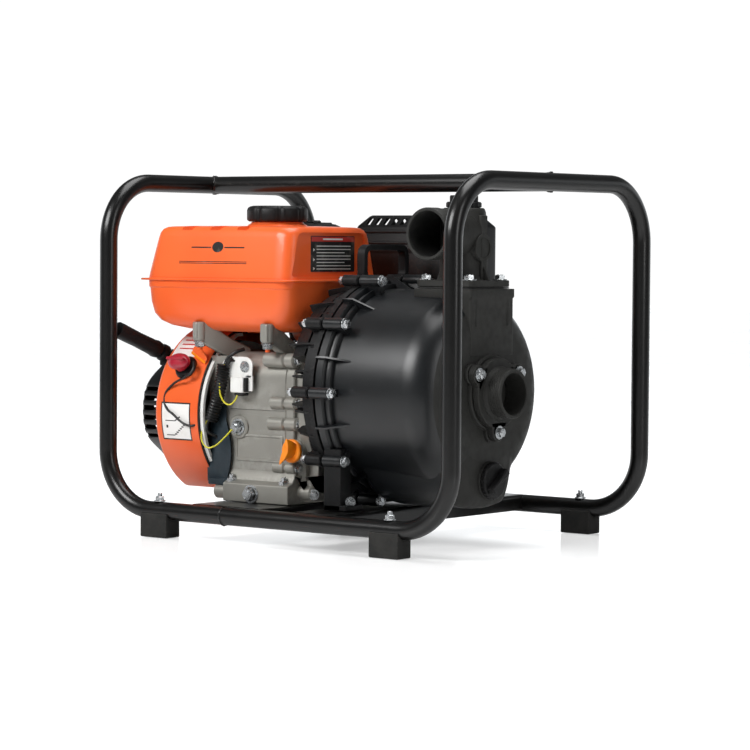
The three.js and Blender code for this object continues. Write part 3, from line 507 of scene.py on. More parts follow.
def machined_steel():
    steel = Finish("machined_steel", "#8f9397", 0.3, metallic=1.0)
    steel.tint("#6d6a66", steel.mask(steel.noise(60, 6), 0.5, 0.8, 0.6))
    steel.dull(0.5, steel.mask(steel.noise(900, 2, (0.05, 1, 1)), 0.4, 0.6))
    steel.raised(steel.noise(1600, 2, (0.05, 1, 1)), 0.04, 0.5)
    return steel.done()


def orange_paint():
    paint = Finish("orange_paint", "#f1682f", 0.34, coat=0.2, specular=0.4)
    paint.tint("#e8551f", paint.mask(paint.noise(9, 3), 0.4, 0.7, 0.5))
    chips = paint.times(paint.edges(0.58, 0.7), paint.mask(paint.noise(220), 0.55, 0.75, 0.4))
    paint.tint("#8e2d0f", chips)
    paint.dull(0.42, paint.mask(paint.noise(60, 5), 0.5, 0.8, 0.4))
    paint.raised(paint.noise(260, 2), 0.12, 0.25)
    paint.dusty("#e7a07c", 0.06)
    return paint.done()


def moulded_plastic(name="black_plastic", colour="#0e0e0f", worn="#171718", roughness=0.42):
    plastic = Finish(name, colour, roughness, specular=0.25)
    plastic.tint(worn, plastic.mask(plastic.noise(35, 5), 0.4, 0.75, 0.6))
    plastic.tint("#343433", plastic.times(plastic.edges(), plastic.mask(plastic.noise(350), 0.45, 0.7, 0.4)))
    plastic.dull(roughness + 0.15, plastic.mask(plastic.noise(110, 6), 0.4, 0.7))
    plastic.raised(plastic.noise(1300, 3), 0.12, 0.5)
    plastic.dusty("#454440", 0.05)
    return plastic.done()


def glossy_drum():
    plastic = Finish("pump_shell_plastic", "#0c0e10", 0.33, specular=0.55)
    plastic.tint("#14171a", plastic.mask(plastic.noise(14, 4), 0.4, 0.7, 0.7))
    plastic.dull(0.36, plastic.mask(plastic.noise(50, 6), 0.35, 0.75))
    plastic.tint("#242526", plastic.times(plastic.edges(), plastic.mask(plastic.noise(300), 0.45, 0.7, 0.4)))
    plastic.raised(plastic.noise(20, 2), 1.2, 0.2)
    plastic.raised(plastic.noise(1200, 3), 0.05, 0.4)
    plastic.dusty("#3c3c3a", 0.05)
    return plastic.done()


def matt_front():
    return moulded_plastic("pump_front_plastic", "#2a2a28", "#343432", 0.5)


def guard_paint():
    paint = Finish("guard_paint", "#080809", 0.4, specular=0.3)
    paint.tint("#111010", paint.mask(paint.noise(40, 5), 0.4, 0.7, 0.6))
    rust = paint.times(paint.edges(0.55, 0.65), paint.mask(paint.noise(260), 0.55, 0.75, 0.5))
    paint.tint("#4d3a2c", rust)
    paint.raised(paint.noise(800, 3), 0.1, 0.5)
    return paint.done()


def switch_red():
    plastic = Finish("switch_red", "#a80f2b", 0.32, coat=0.4)
    plastic.tint("#7d0a1e", plastic.mask(plastic.noise(120, 4), 0.45, 0.75, 0.6))
    plastic.dull(0.5, plastic.mask(plastic.noise(260), 0.45, 0.7))
    plastic.raised(plastic.noise(900), 0.05, 0.5)
    return plastic.done()


def dipstick_yellow():
    plastic = Finish("dipstick_yellow", "#ff9110", 0.36, coat=0.2)
    plastic.tint("#f07406", plastic.mask(plastic.noise(90, 4), 0.45, 0.75, 0.7))
    plastic.tint("#7a4a18", plastic.mask(plastic.noise(420, 4), 0.66, 0.8, 0.5))
    plastic.raised(plastic.noise(900), 0.06, 0.5)
    return plastic.done()


def shield_steel():
    steel = Finish("shield_steel", "#26323a", 0.34, metallic=0.45, coat=0.2)
    steel.tint("#3a4750", steel.mask(steel.noise(60, 4), 0.4, 0.75, 0.6))
    steel.dull(0.55, steel.mask(steel.noise(140, 6), 0.45, 0.7))
    steel.raised(steel.noise(700), 0.06, 0.4)
    return steel.done()


def white_plastic():
    plastic = Finish("white_plastic", "#e9e9e6", 0.42)
    plastic.tint("#cfcdc4", plastic.mask(plastic.noise(90, 5), 0.45, 0.8, 0.6))
    plastic.raised(plastic.noise(800), 0.06, 0.4)
    return plastic.done()


def seal_rubber():
    rubber = Finish("seal_rubber", "#1d1d1d", 0.7, specular=0.35)
    rubber.tint("#33322f", rubber.mask(rubber.noise(80, 5), 0.45, 0.75, 0.6))
    rubber.raised(rubber.noise(1000, 3), 0.15, 0.5)
    return rubber.done()


def plug_ceramic():
    glaze = Finish("plug_ceramic", "#efeee6", 0.22, coat=0.5)
    glaze.tint("#c9b48c", glaze.mask(glaze.noise(160, 5), 0.55, 0.8, 0.6))
    glaze.raised(glaze.noise(500), 0.04, 0.4)
    return glaze.done()


def filter_foam():
    foam = Finish("filter_foam", "#b9a878", 0.95, specular=0.1)
    foam.tint("#6f6038", foam.mask(foam.cells(900), 0.1, 0.5))
    foam.raised(foam.cells(900), 0.8, 0.9)
    return foam.done()


def label_vinyl(name, colour):
    vinyl = Finish(name, colour, 0.35, coat=0.2)
    vinyl.tint("#b9b3a8", vinyl.mask(vinyl.noise(70, 5), 0.55, 0.85, 0.35))
    vinyl.raised(vinyl.noise(300), 0.03, 0.3)
    return vinyl.done()


def wire_jacket(name, colour):
    jacket = Finish(name, colour, 0.4)
    jacket.tint("#3a352a", jacket.mask(jacket.noise(350, 4), 0.6, 0.85, 0.4))
    jacket.raised(jacket.noise(900), 0.04, 0.4)
    return jacket.done()


FRAME = gloss_frame_paint()
FOOT = foot_rubber()
ZINC = bright_zinc()
CAST = cast_aluminium()
STEEL = machined_steel()
ORANGE = orange_paint()
PLASTIC = moulded_plastic()
DRUM = glossy_drum()
FRONT = matt_front()
GUARD = guard_paint()
RED = switch_red()
YELLOW = dipstick_yellow()
SHIELD = shield_steel()
WHITE = white_plastic()
SEAL = seal_rubber()
CERAMIC = plug_ceramic()
FOAM = filter_foam()
LABEL_WHITE = label_vinyl("label_white", "#f1efec")
LABEL_BLACK = label_vinyl("label_black", "#191919")
LABEL_RED = label_vinyl("label_red", "#c2342c")
WIRE_BLACK = wire_jacket("wire_black", "#111111")
WIRE_YELLOW = wire_jacket("wire_yellow", "#d8d02a")


# ---------------------------------------------------------------- carrying frame
def hoop(name, node):
    """A bent tube: an upright hoop with both its bottom rails, which meet the other hoop's at the seam."""
    x, y, z = span(node)
    outer = x[1] - TUBE_R if x[1] > 0 else x[0] + TUBE_R
    seam = x[0] if x[1] > 0 else x[1]
    near, far, low, top = y[0] + TUBE_R, y[1] - TUBE_R, z[0] + TUBE_R, z[1] - TUBE_R
    corners = [(seam, near, low), (outer, near, low), (outer, near, top)]
    corners += [(outer, far, top), (outer, far, low), (seam, far, low)]
    piece(name, tube(bends(corners, BEND_R, 18), TUBE_R, 40), [FRAME], [node])


def wobbly(path, radius, roughness):
    """A weld bead: a closed tube whose thickness wanders."""
    radii = [radius * (1 + roughness * noise.noise(Vector(p) * 0.45)) for p in path]
    return tube(path, radii, 10, closed=True)


def weld_beads():
    """Beads where the bottom rails meet, and round the ends of the top rail."""
    x, y, z = span("end_hoop_recoil_side")
    beads = Shape()
    low, top = z[0] + TUBE_R, z[1] - TUBE_R
    for side in (y[0] + TUBE_R, y[1] - TUBE_R):
        ring = [(x[1] + 0.1, side + TUBE_R * math.cos(a), low + TUBE_R * math.sin(a)) for a in turns(60)]
        beads.add(wobbly(ring, 1.3, 0.7))
    reach = span("end_hoop_pump_side")[0][1] - TUBE_R
    radius = TUBE_R + 0.1
    for end in (-1, 1):
        cope = []
        for a in turns(60):
            t = end * (reach - (radius + 0.1) * abs(math.cos(a)) - 0.3)
            cope.append((t, radius * math.cos(a), top + radius * math.sin(a)))
        beads.add(wobbly(cope, 1.3, 0.6))
    piece("weld_beads", beads, [FRAME])


def top_rail():
    x, _, z = span("top_rail")
    shape = bar("x", TUBE_R, x, (0, mid(z)), 40, 0.2)
    piece("top_rail_tube", shape, [FRAME], ["top_rail"])


def crossbar(name, node):
    """A folded channel, open at the bottom, between the bottom rails."""
    (x0, x1), y, (z0, z1) = span(node)
    sheet = 3
    channel = [(x0, z0), (x0, z1, 5), (x1, z1, 5), (x1, z0), (x1 - sheet, z0)]
    channel += [(x1 - sheet, z1 - sheet, 2), (x0 + sheet, z1 - sheet, 2), (x0 + sheet, z0)]
    shape = prism("y", rounded(channel), y)
    piece(name, shape, [FRAME], [node], bevel=0.5)


def feet():
    for corner in ("recoil_near", "recoil_far", "pump_near", "pump_far"):
        x, y, z = span(f"foot_{corner}")
        shape = block(x, y, z, 1.6)
        shape.add(block((x[0] + 3, x[1] - 3), (y[0] + 3, y[1] - 3), (z[1] - 4, z[1] + 2.2), 1.5))
        piece(f"rubber_foot_{corner}", shape, [FOOT], [f"foot_{corner}"], bevel=0.5)
        x, y, z = span(f"foot_bolt_{corner}")
        nut = Shape().add(bolt(5.8, 5.0, 7.2, stud=4.0), toward((mid(x), mid(y), z[1] - 6.5), (0, 0, 1)))
        piece(f"foot_nut_{corner}", nut, [ZINC], [f"foot_bolt_{corner}"])


# ---------------------------------------------------------------- crankcase
PARTING_Z = 157  # height of the thin groove along the crankcase
# Bosses where crankcase and cover meet: height, end on the crankcase, end on the cover, radius.
JOINT_BOSSES = ((219, -74, -24, 9), (167, -64, -22, 8.2), (141.6, -68, -20, 8.2), (88, -60, -22, 7))
JOINT_BOSS_Y = -120
# Two more bosses on the cover's far half, as (y, z).
FAR_BOSSES = ((20, 88), (30, 176))
FAR_BOSS_X = -22
GLAND = (-114, 135)  # the cable gland's centre, as (x, z)


def case_outline():
    """The engine block's outline as (y, z); its far upper corner is cut away for the cylinder."""
    near, far, low, top = -122, 57, 65, 227
    corners = [(near, low, 3), (far, low, 3), (far, 140, 22), (28, 200, 22)]
    return rounded(corners + [(-20, top, 14), (-104, top, 9), (near, 205, 9)], steps=6)


def above(outline, level, side=1):
    """The part of a convex outline above a height, or below it with side -1."""
    kept = []
    for a, b in zip(outline, outline[1:] + outline[:1]):
        inside_a, inside_b = (side * (point[1] - level) >= 0 for point in (a, b))
        if inside_a:
            kept.append(a)
        if inside_a != inside_b:
            t = (level - a[1]) / (b[1] - a[1])
            kept.append((a[0] + t * (b[0] - a[0]), level))
    return kept


def crankcase():
    x = (span("engine_block")[0][0], span("crankcase_cover")[0][0])
    outline = case_outline()
    shape = prism("x", above(outline, PARTING_Z - 0.5, -1), x, 1.2)
    shape.add(prism("x", above(outline, PARTING_Z + 0.5), x, 1.2))
    shape.add(prism("x", inset(outline, 1.2), (x[0] + 1, x[1] - 0.5)))
    shape.add(foot_flare())
    shape.add(case_panel())
    for z, left, _, radius in JOINT_BOSSES:
        shape.add(bar("x", radius, (left, x[1]), (JOINT_BOSS_Y, z), 32, 2.5))
    shape.add(bar("x", 9, (-150, -128), (-122, 54), 28, 2))
    shape.add(sleeve("y", 15, 6, (-124.5, -118), GLAND, 40, 1.2))
    shape.add(block((-160, -128), (-124.5, -100), (192, 222), 3))
    # Room for the sliding piston, along the cylinder's axis from past the crankshaft up to the barrel.
    bore = Shape().add(bar("z", 35.2, (-60, 100), (0, 0), 48), on_cylinder())
    piece("crankcase", shape, [CAST], ["engine_block"], bevel=1.1, crease=32, carve=bore)


def case_panel():
    """A thin raised border round a sunken field on the near side of the crankcase."""
    rings = []
    for y, grow in ((-121.6, 1.4), (-123, 1.4), (-123.4, 0.8), (-123.4, -0.8), (-122.3, -1.6)):
        field = rectangle((-118 - grow, -45 + grow), (95 - grow, 125 + grow), 3)
        rings.append([(u, y, v) for u, v in field])
    return Shape().body(rings)


def foot_flare():
    """The block's underside sweeping out to its flat mounting foot."""
    profile = [(-118, 84), (-122.3, 82), (-123.6, 76), (-127, 70.5), (-137, 66.2, 1.5), (-137, 44, 1.5)]
    profile += [(57, 44, 1.5), (57, 66), (50, 84)]
    return prism("x", rounded(profile), (-128, -24), 0.8)


def case_hardware():
    """Four nuts on the mounting foot, the cable gland's nut and a screw in the cover's foot."""
    nuts = Shape()
    for x in (-120, -37):
        nuts.add(bolt(6.4, 5.2, 8.4, stud=4.5), toward((x, -128, 66), (0, -0.1, 1)))
        nuts.add(bolt(6.4, 5.2, 8.4, stud=4.5), toward((x, 50, 66), (0, 0, 1)))
    nuts.add(bolt(7.4, 6, 10.4, stud=2.5), toward((GLAND[0], -124.4, GLAND[1]), (0, -1, 0)))
    nuts.add(bolt(5, 4, 6.6), toward((-2, -113, 57), (0.6, -0.8, 0)))
    piece("case_hardware", nuts, [ZINC])


def crankcase_cover():
    """A stepped cover with its bosses, the oil filler's neck and a foot, and the screws in the bosses."""
    x0, x1 = span("crankcase_cover")[0]
    outline = case_outline()
    shape = prism("x", outline, (x0, x0 + 13), 1.2)
    shape.add(prism("x", inset(outline, 5), (x0 + 8, x0 + 26), 3))
    shape.add(prism("x", inset(outline, 14), (x0 + 20, x1), 3))
    screws = Shape()
    for z, _, right, radius in JOINT_BOSSES:
        shape.add(bar("x", radius, (x0, right), (JOINT_BOSS_Y, z), 32, 2.2))
        screws.add(bolt(4.6, 4, 6), toward((right, JOINT_BOSS_Y, z), (1, 0, 0)))
    for y, z in FAR_BOSSES:
        shape.add(bar("x", 8, (x0, FAR_BOSS_X), (y, z), 28, 2.2))
        screws.add(bolt(4.6, 4, 6), toward((FAR_BOSS_X, y, z), (1, 0, 0)))
    neck_x, _, neck_z = span("dipstick")
    shape.add(bar("y", 14, (-128, -104), (mid(neck_x), mid(neck_z)), 36, 1.5))
    shape.add(block((x0, -6), (-112, 40), (47, 74), 6))
    shape.add(bar("x", 9, (x0, -4), (-110, 58), 32, 2))
    shape.add(bearing_rim())
    piece("crankcase_end_cover", shape, [CAST], ["crankcase_cover"], bevel=0.9)
    piece("cover_screws", screws, [ZINC])


def bearing_rim():
    """The raised rim of the bearing housing on the pump side of the cover."""
    profile = [(-16, 80), (-16, 86), (-10, 88), (-1, 88), (-1, 78), (-8, 76)]
    return turned("x", profile, CRANK, 80, loop=True)


# ---------------------------------------------------------------- cylinder and oil openings
CYLINDER_X = -95
CYLINDER_TILT = 25  # degrees that the cylinder's axis stands above level
DECK = 131  # the head's joint, from the crankshaft along the cylinder's axis


def on_cylinder():
    """Places a shape drawn along +Z at the origin on the leaning cylinder."""
    lean = math.radians(CYLINDER_TILT - 90)
    return Matrix.Translation((CYLINDER_X, *CRANK)) @ Matrix.Rotation(lean, 4, "X")


def finned_barrel():
    shape = bar("z", 41, (45, DECK), (0, 0), 48, 1)
    for d in range(66, 126, 8):
        shape.add(prism("z", rectangle((-52, 52), (-49, 49), 9), (d, d + 2.4), 0.6))
    shape.add(prism("z", rectangle((-50, 50), (-46, 46), 8), (125, DECK), 0.8))
    placed = Shape().add(shape, on_cylinder())
    piece("cylinder_barrel", placed, [CAST])


def cylinder_head():
    shape = prism("z", rectangle((-50, 50), (-46, 46), 10), (DECK + 0.4, 140), 0.8)
    shape.add(prism("z", rectangle((-44, 22), (-42, 42), 10), (138, 172), 1))
    for d in (142, 149, 156, 163):
        shape.add(prism("z", rectangle((-53, 53), (-49, 49), 9), (d, d + 2.6), 0.6))
    shape.add(bar("x", 19, (30, 52), (0, 152), 40, 1.5))
    placed = Shape().add(shape, on_cylinder())
    piece("head_casting", placed, [CAST], ["cylinder_head"])


def valve_cover():
    flange = 175.5
    steps = [(172.3, 0), (flange, 0), (flange, 3), (180, 3.2), (194, 4.5), (199, 7), (202, 11), (203, 16)]
    lid = Shape().body(stack(shrinking((-47, 14), (-38, 38), 11, steps)))
    for x, y in ((-41, -32), (8, -32), (8, 32), (-41, 32)):
        lid.add(bolt(4.4, 3.6, 6), Matrix.Translation((x, y, flange)))
    lid.add(prism("z", rectangle((-36, 3), (-6, 6), 5), (202, 205), 1))
    placed = Shape().add(lid, on_cylinder())
    piece("valve_cover", placed, [STEEL], ["head_cover"])


def along_plug():
    """Places a shape drawn along +Z at the origin on the spark plug, which leans out of the head."""
    return on_cylinder() @ Matrix.Translation((12, 0, DECK)) @ Matrix.Rotation(math.radians(31), 4, "Y")


def spark_plug():
    plug = bar("z", 7, (2, 34), (0, 0), 32, 1)
    plug.add(hexagon(10.3, (33, 44)))
    plug.add(turned("z", [(44, 5.8), (47, 5.8), (60, 4.4), (66, 3.4)], (0, 0), 28, finish=1))
    placed = Shape().add(plug, along_plug())
    piece("spark_plug_body", placed, [STEEL, CERAMIC], ["spark_plug"])


def plug_boot():
    """The rubber cap on the plug, with its ribbed lead outlet to the side."""
    boot = turned("z", [(50, 9.2), (53, 11), (62, 11), (78, 9.6), (82, 7)], (0, 0), 36)
    boot.add(bar("y", 7.4, (-2, 26), (0, 74), 28, 1.5))
    for y in (6, 11, 16, 21):
        boot.add(bar("y", 8.2, (y, y + 2), (0, 74), 28, 0.6))
    placed = Shape().add(boot, along_plug())
    piece("plug_boot", placed, [SEAL], ["plug_cap"])


def dipstick_cap():
    x, y, z = span("dipstick")
    at = (mid(x), mid(z))
    base = -128.4
    cap = bar("y", 14.5, (base - 6, base), at, 40, 1.4)
    cap.add(bar("y", 8.2, (base - 1, -112), at, 24, 0.5))
    cap.add(bar("y", 2.5, (-114, y[1]), at, 12, 0.5))
    grip = toward((at[0], base - 4, at[1]), (0, -1, 0)) @ Matrix.Rotation(0.75, 4, "Z")
    cap.add(wings(17, 13.5, 16), grip)
    piece("dipstick_cap", cap, [YELLOW], ["dipstick"], body="oil_dipstick", bevel=0.5)


def oil_drain():
    x, y, z = span("oil_drain_bolt")
    drain = Shape().add(bolt(8.2, 7, 11.5), toward((mid(x), -137.2, mid(z)), (0, -1, 0)))
    drain.add(bar("y", 5.8, (-137.5, y[1]), (mid(x), mid(z)), 20))
    piece("oil_drain_screw", drain, [ZINC], ["oil_drain_bolt"])


def wings(reach, width, height):
    """A grip drawn along +Z: a leaf-shaped plug that twists and spreads lengthwise as it rises."""
    rings = []
    for t in range(9):
        share = t / 8
        spread = 1 - 0.35 * share
        bow = width * (0.34 + 0.66 * math.sin(math.pi * (0.35 + 0.4 * share)))
        twist = 0.5 * share
        ring = []
        for angle in turns(36):
            u = reach * (0.72 + 0.28 * share) * math.cos(angle)
            v = bow * spread * 0.6 * math.sin(angle) * (1 - 0.45 * abs(math.cos(angle)) ** 2)
            ring.append((
                u * math.cos(twist) - v * math.sin(twist),
                u * math.sin(twist) + v * math.cos(twist),
                height * share * (0.72 + 0.28 * abs(math.cos(angle))),
            ))
        rings.append(ring)
    return Shape().body(rings)


# ---------------------------------------------------------------- shroud, starter and near-side fittings
SHROUD_R = 110
SHROUD_X = span("fan_shroud")[0]
SHROUD_FLOOR, SHROUD_TOP = 54, 251.6  # heights of its flat underside and flat top
DUCT_Y, DUCT_RISE = 98, 75  # the duct over the cylinder: its far end, and its roof above the crankshaft


def shroud_reach(angle):
    """Distance from the crank axis to the shroud's outline; the angle turns from +Y to +Z."""
    cy, cz = math.cos(angle), math.sin(angle)
    reach = SHROUD_R
    if cy > 0:
        to_roof = DUCT_RISE / cz if cz > 0 else math.inf
        reach = max(reach, min((DUCT_Y - CRANK[0]) / cy, to_roof))
    if cz < 0:
        reach = min(reach, (CRANK[1] - SHROUD_FLOOR) / -cz)
    if cz > 0:
        reach = min(reach, (SHROUD_TOP - CRANK[1]) / cz)
    return reach


def round_crank(x, angle, reach):
    """A point at a distance from the crank axis; the angle turns from +Y to +Z."""
    return (x, CRANK[0] + reach * math.cos(angle), CRANK[1] + reach * math.sin(angle))


def shroud_point(x, angle, lift=0.0):
    return round_crank(x, angle, shroud_reach(angle) + lift)


def fan_shroud():
    """A shell round the fan, open to the pump side, with a round intake behind the recoil starter."""
    x0, x1 = SHROUD_X[0], SHROUD_X[1] + 6
    outside = [(x1, 0), (x0 + 7, 0), (x0 + 4, 0.8), (x0 + 1.4, 3), (x0, 6.5)]
    intake = [(x0, 74), (x0 + 1, 73), (x0 + 2.5, 73)]
    inside = [(x0 + 2.5, 7.5), (x0 + 5, 4), (x0 + 8, 2.5), (x1, 2.5)]
    angles = turns(240)
    rings = [[shroud_point(x, a, -d) for a in angles] for x, d in outside]
    rings += [[round_crank(x, a, r) for a in angles] for x, r in intake]
    rings += [[shroud_point(x, a, -d) for a in angles] for x, d in inside]
    shape = Shape().body(rings, loop=True)
    piece("shroud_shell", shape, [ORANGE], ["fan_shroud"], crease=50)
    white = sweep(math.radians(100), math.radians(262), 60)
    seal = band((x1 - 0.3, x1 + 1.6), white, -0.6, -3.6, 1)
    black = sweep(math.radians(108), math.radians(256), 60)
    seal.add(band((x1 + 1.6, x1 + 6.5), black, -3.2, -7.2, 0))
    piece("shroud_edge_seal", seal, [WHITE, SEAL])


def band(x, angles, top, bottom, finish):
    """A strip along the shroud's outline, between two heights over its skin."""
    corners = ((x[0], top), (x[1], top), (x[1], bottom), (x[0], bottom))
    rings = [[shroud_point(t, a, lift) for t, lift in corners] for a in angles]
    return Shape().body(rings, finish)


def patch(x, z, lift, finish):
    """A thin decal lying on the near side of the shroud between two heights."""
    low, high = (math.pi - math.asin((value - CRANK[1]) / SHROUD_R) for value in z)
    return band(x, sweep(low, high, 12), lift, -0.4, finish)


def shroud_labels():
    """A white label with plain lines in a black border, and a sticker with three red lines."""
    label = patch((-219, -171), (116, 163), 0.22, 1)
    label.add(patch((-217.3, -172.7), (117.8, 161.2), 0.34, 0))
    for x, z in (((-212, -196), (139.5, 140.6)), ((-212, -198), (121.5, 122.6))):
        label.add(patch(x, z, 0.44, 1))
    label.add(slanted((-196, 140), (-188, 145), 1.1))
    label.add(slanted((-198, 122), (-180, 136), 1.1))
    label.add(patch((-211, -208), (131, 134.5), 0.44, 1))
    piece("shroud_label", label, [LABEL_WHITE, LABEL_BLACK])
    sticker = patch((-224, -186), (219, 243), 0.25, 0)
    for z in (238, 233, 228):
        sticker.add(patch((-218, -192), (z, z + 1.4), 0.36, 1))
    piece("shroud_sticker", sticker, [LABEL_WHITE, LABEL_RED])


def slanted(start, end, width):
    """A sloping line of a decal, as short level steps."""
    shape = Shape()
    steps = 6
    for i in range(steps):
        t, u = i / steps, (i + 1) / steps
        x = (start[0] + (end[0] - start[0]) * t, start[0] + (end[0] - start[0]) * u + 0.4)
        z = start[1] + (end[1] - start[1]) * (t + u) / 2
        shape.add(patch(x, (z - width / 2, z + width / 2 + 0.6), 0.44, 1))
    return shape


STARTER_COLUMNS = 180
STARTER_SIDE = range(3, 6)  # the levels of its profile that run over the rim
STARTER_FACE = 9  # the level of its profile on the flat face


def recoil_starter():
    """A thin cover with its air slots left open, as a sheet that gets its wall afterwards."""
    x0, x1 = span("recoil_housing")[0]
    mouth = x1 - 8
    profile = [(x1, 90), (mouth, 90), (x1 - 9, 89), (x0 + 31, 89), (x0 + 12, 89), (x0 + 6, 87.5)]
    profile += [(x0 + 2.5, 83), (x0 + 1.5, 76), (x0 + 1.5, 66), (x0 + 3, 64), (x0 + 3, 40), (x0 + 1.5, 38)]
    profile += [(x0 + 1.5, 0.5)]
    shape = Shape()
    for t, r in profile:
        for a in turns(STARTER_COLUMNS):
            reach = r * starter_share(a) if t < mouth and r > 70 else r
            shape.points.append(Vector(round_crank(t, a, reach)))
    for level in range(len(profile) - 1):
        a, b = level * STARTER_COLUMNS, (level + 1) * STARTER_COLUMNS
        for i in range(STARTER_COLUMNS):
            j = (i + 1) % STARTER_COLUMNS
            if not louvre(level, i):
                shape.face((a + i, a + j, b + j, b + i), 0)
    made = piece("starter_cover", shape, [DRUM], ["recoil_housing"], crease=30)
    wall = made.modifiers.new("wall", "SOLIDIFY")
    wall.thickness = 2.4 * MM
    wall.offset = -1
    starter_tabs(x0, x1)


def starter_tabs(x0, x1):
    """The cover's three screwed tabs, and the hub behind its face."""
    tabs = Shape()
    for degrees in (45, 165, 285):
        _, *at = round_crank(0, math.radians(degrees), 93)
        tabs.add(bar("x", 7, (x1 - 3.5, x1), at, 28, 0.6))
        tabs.add(Shape().add(bolt(4.4, 3.4, 5.8), toward((x1 - 3.5, *at), (-1, 0, 0))), finish=1)
    tabs.add(bar("x", 9, (x0, x0 + 30), CRANK, 32, 1))
    piece("starter_tabs", tabs, [PLASTIC, ZINC])


def starter_share(angle):
    """The cover is full only at its two sides, where the air slots are, and narrower between them."""
    away = math.degrees(math.acos(min(1.0, abs(math.cos(angle)))))
    ease = min(max((away - 13) / 36, 0), 1)
    return 1 - 0.135 * ease * ease * (3 - 2 * ease)


def louvre(level, column):
    """True where the starter cover is open: slots in its side wrapping over the rim, and in its face."""
    if level in STARTER_SIDE:
        return 18 <= (column + 30) % 90 <= 42 and column % 4 < 2
    return level == STARTER_FACE and column % 12 < 5


HANDLE_SEAT = Vector((-255, -115, 225))


def pull_handle():
    end = Vector((-269.4, -180, 253.6))
    length = (end - HANDLE_SEAT).length
    outline = [(0, 8), (2, 12.2), (7, 13.2), (12, 12), (length * 0.5, 11.4), (length - 10, 12)]
    grip = turned("z", outline + [(length - 3, 12), (length, 7.5)], (0, 0), 40)
    flatter = Matrix.Diagonal((1.0, 0.85, 1, 1))
    placed = Shape().add(grip, toward(HANDLE_SEAT, end - HANDLE_SEAT) @ flatter)
    piece("starter_grip", placed, [PLASTIC], ["pull_handle"], body="starter_handle")


def rope_guide():
    """The collar behind the pull handle, and the block that it stands on."""
    collar = turned("z", [(0, 8), (3, 11), (9, 11), (12, 9)], (0, 0), 36)
    guide = Shape().add(collar, toward(HANDLE_SEAT + Vector((2.7, 12.4, -5.4)), (-12, -55, 24)))
    guide.add(block((-262, -238), (-108, -84), (206, 226), 4))
    piece("rope_guide", guide, [PLASTIC], bevel=1)


def stop_switch():
    """A round base standing on the shroud, and a turning knob: a hub under a rounded barrel with a fin."""
    angle = math.radians(30.3)
    outward = Vector((0, -math.cos(angle), math.sin(angle)))
    place = toward(Vector((-190, *CRANK)) + outward * SHROUD_R, outward)
    base = turned("z", [(0.4, 15), (2, 15.5), (6, 13.5), (7, 12)], (0, 0), 40)
    placed = Shape().add(base, place)
    piece("switch_base", placed, [PLASTIC], ["stop_switch_base"])
    rings = []
    for i in range(1, 16):
        t = math.pi * i / 16
        ring = []
        for a in turns(36):
            ridge = 1 + 0.1 * math.exp(-((abs(math.sin(a))) * 5) ** 2)
            height = 15.3 + 7.8 * math.sin(t) * math.cos(a) * ridge
            ring.append((14.8 * math.cos(t), 9.6 * math.sin(t) * math.sin(a), height))
        rings.append(ring)
    knob = Shape().body(rings)
    knob.add(bar("z", 8.5, (7.3, 14), (0, 0), 32, 0.8))
    knob.add(prism("z", rectangle((-12.5, 12.5), (-1.6, 1.6), 1.4), (14, 24.4), 0.6))
    placed = Shape().add(knob, place @ Matrix.Diagonal((1.15, 1.15, 1.1, 1)))
    piece("switch_knob", placed, [RED], ["stop_switch_knob"], body="stop_switch")


def switch_plate():
    """An orange tab beside the knob, with a yellow strip along its lower edge."""
    tab = [(-180, 233), (-184.5, 224), (-172, 216.5), (-161.5, 211.5), (-158.5, 219), (-168.5, 231)]
    plate = prism("y", rounded(tab, 2.4), (-133, -131.4), 0.4)
    edge = [(-184.5, 224), (-172, 216.5), (-161.5, 211.5), (-160.5, 215), (-171.5, 219.8), (-182.8, 227)]
    plate.add(prism("y", rounded(edge, 1.2), (-133.8, -132.6), 0.3, 1))
    piece("switch_plate", plate, [ORANGE, YELLOW])


def side_plate():
    """A bulged sheet on the near side, wider in the middle, with a small foot."""
    z = span("side_plate")[2]
    rings = []
    for t in sweep(0, 1, 24):
        height = z[0] + (z[1] - z[0]) * t
        left = -163 + 4 * t + 18 * max(0, t - 0.6)
        right = -132 + 9 * math.sin(math.pi * min(1, t * 1.25)) - 8 * max(0, t - 0.85)
        bulge = 5.5 * math.sin(math.pi * t)
        ring = []
        for s in sweep(0, 1, 8):
            y = -125.5 - bulge * math.sin(math.pi * (0.15 + 0.7 * s))
            ring.append((left + (right - left) * s, y, height))
        ring += [(p[0], p[1] + 1.6, p[2]) for p in reversed(ring)]
        rings.append(ring)
    shape = Shape().body(rings)
    shape.add(prism("y", rectangle((-160, -128), (62, 70), 2), (-128, -125), 0.5))
    piece("side_shield", shape, [SHIELD], ["side_plate"], bevel=0.4)


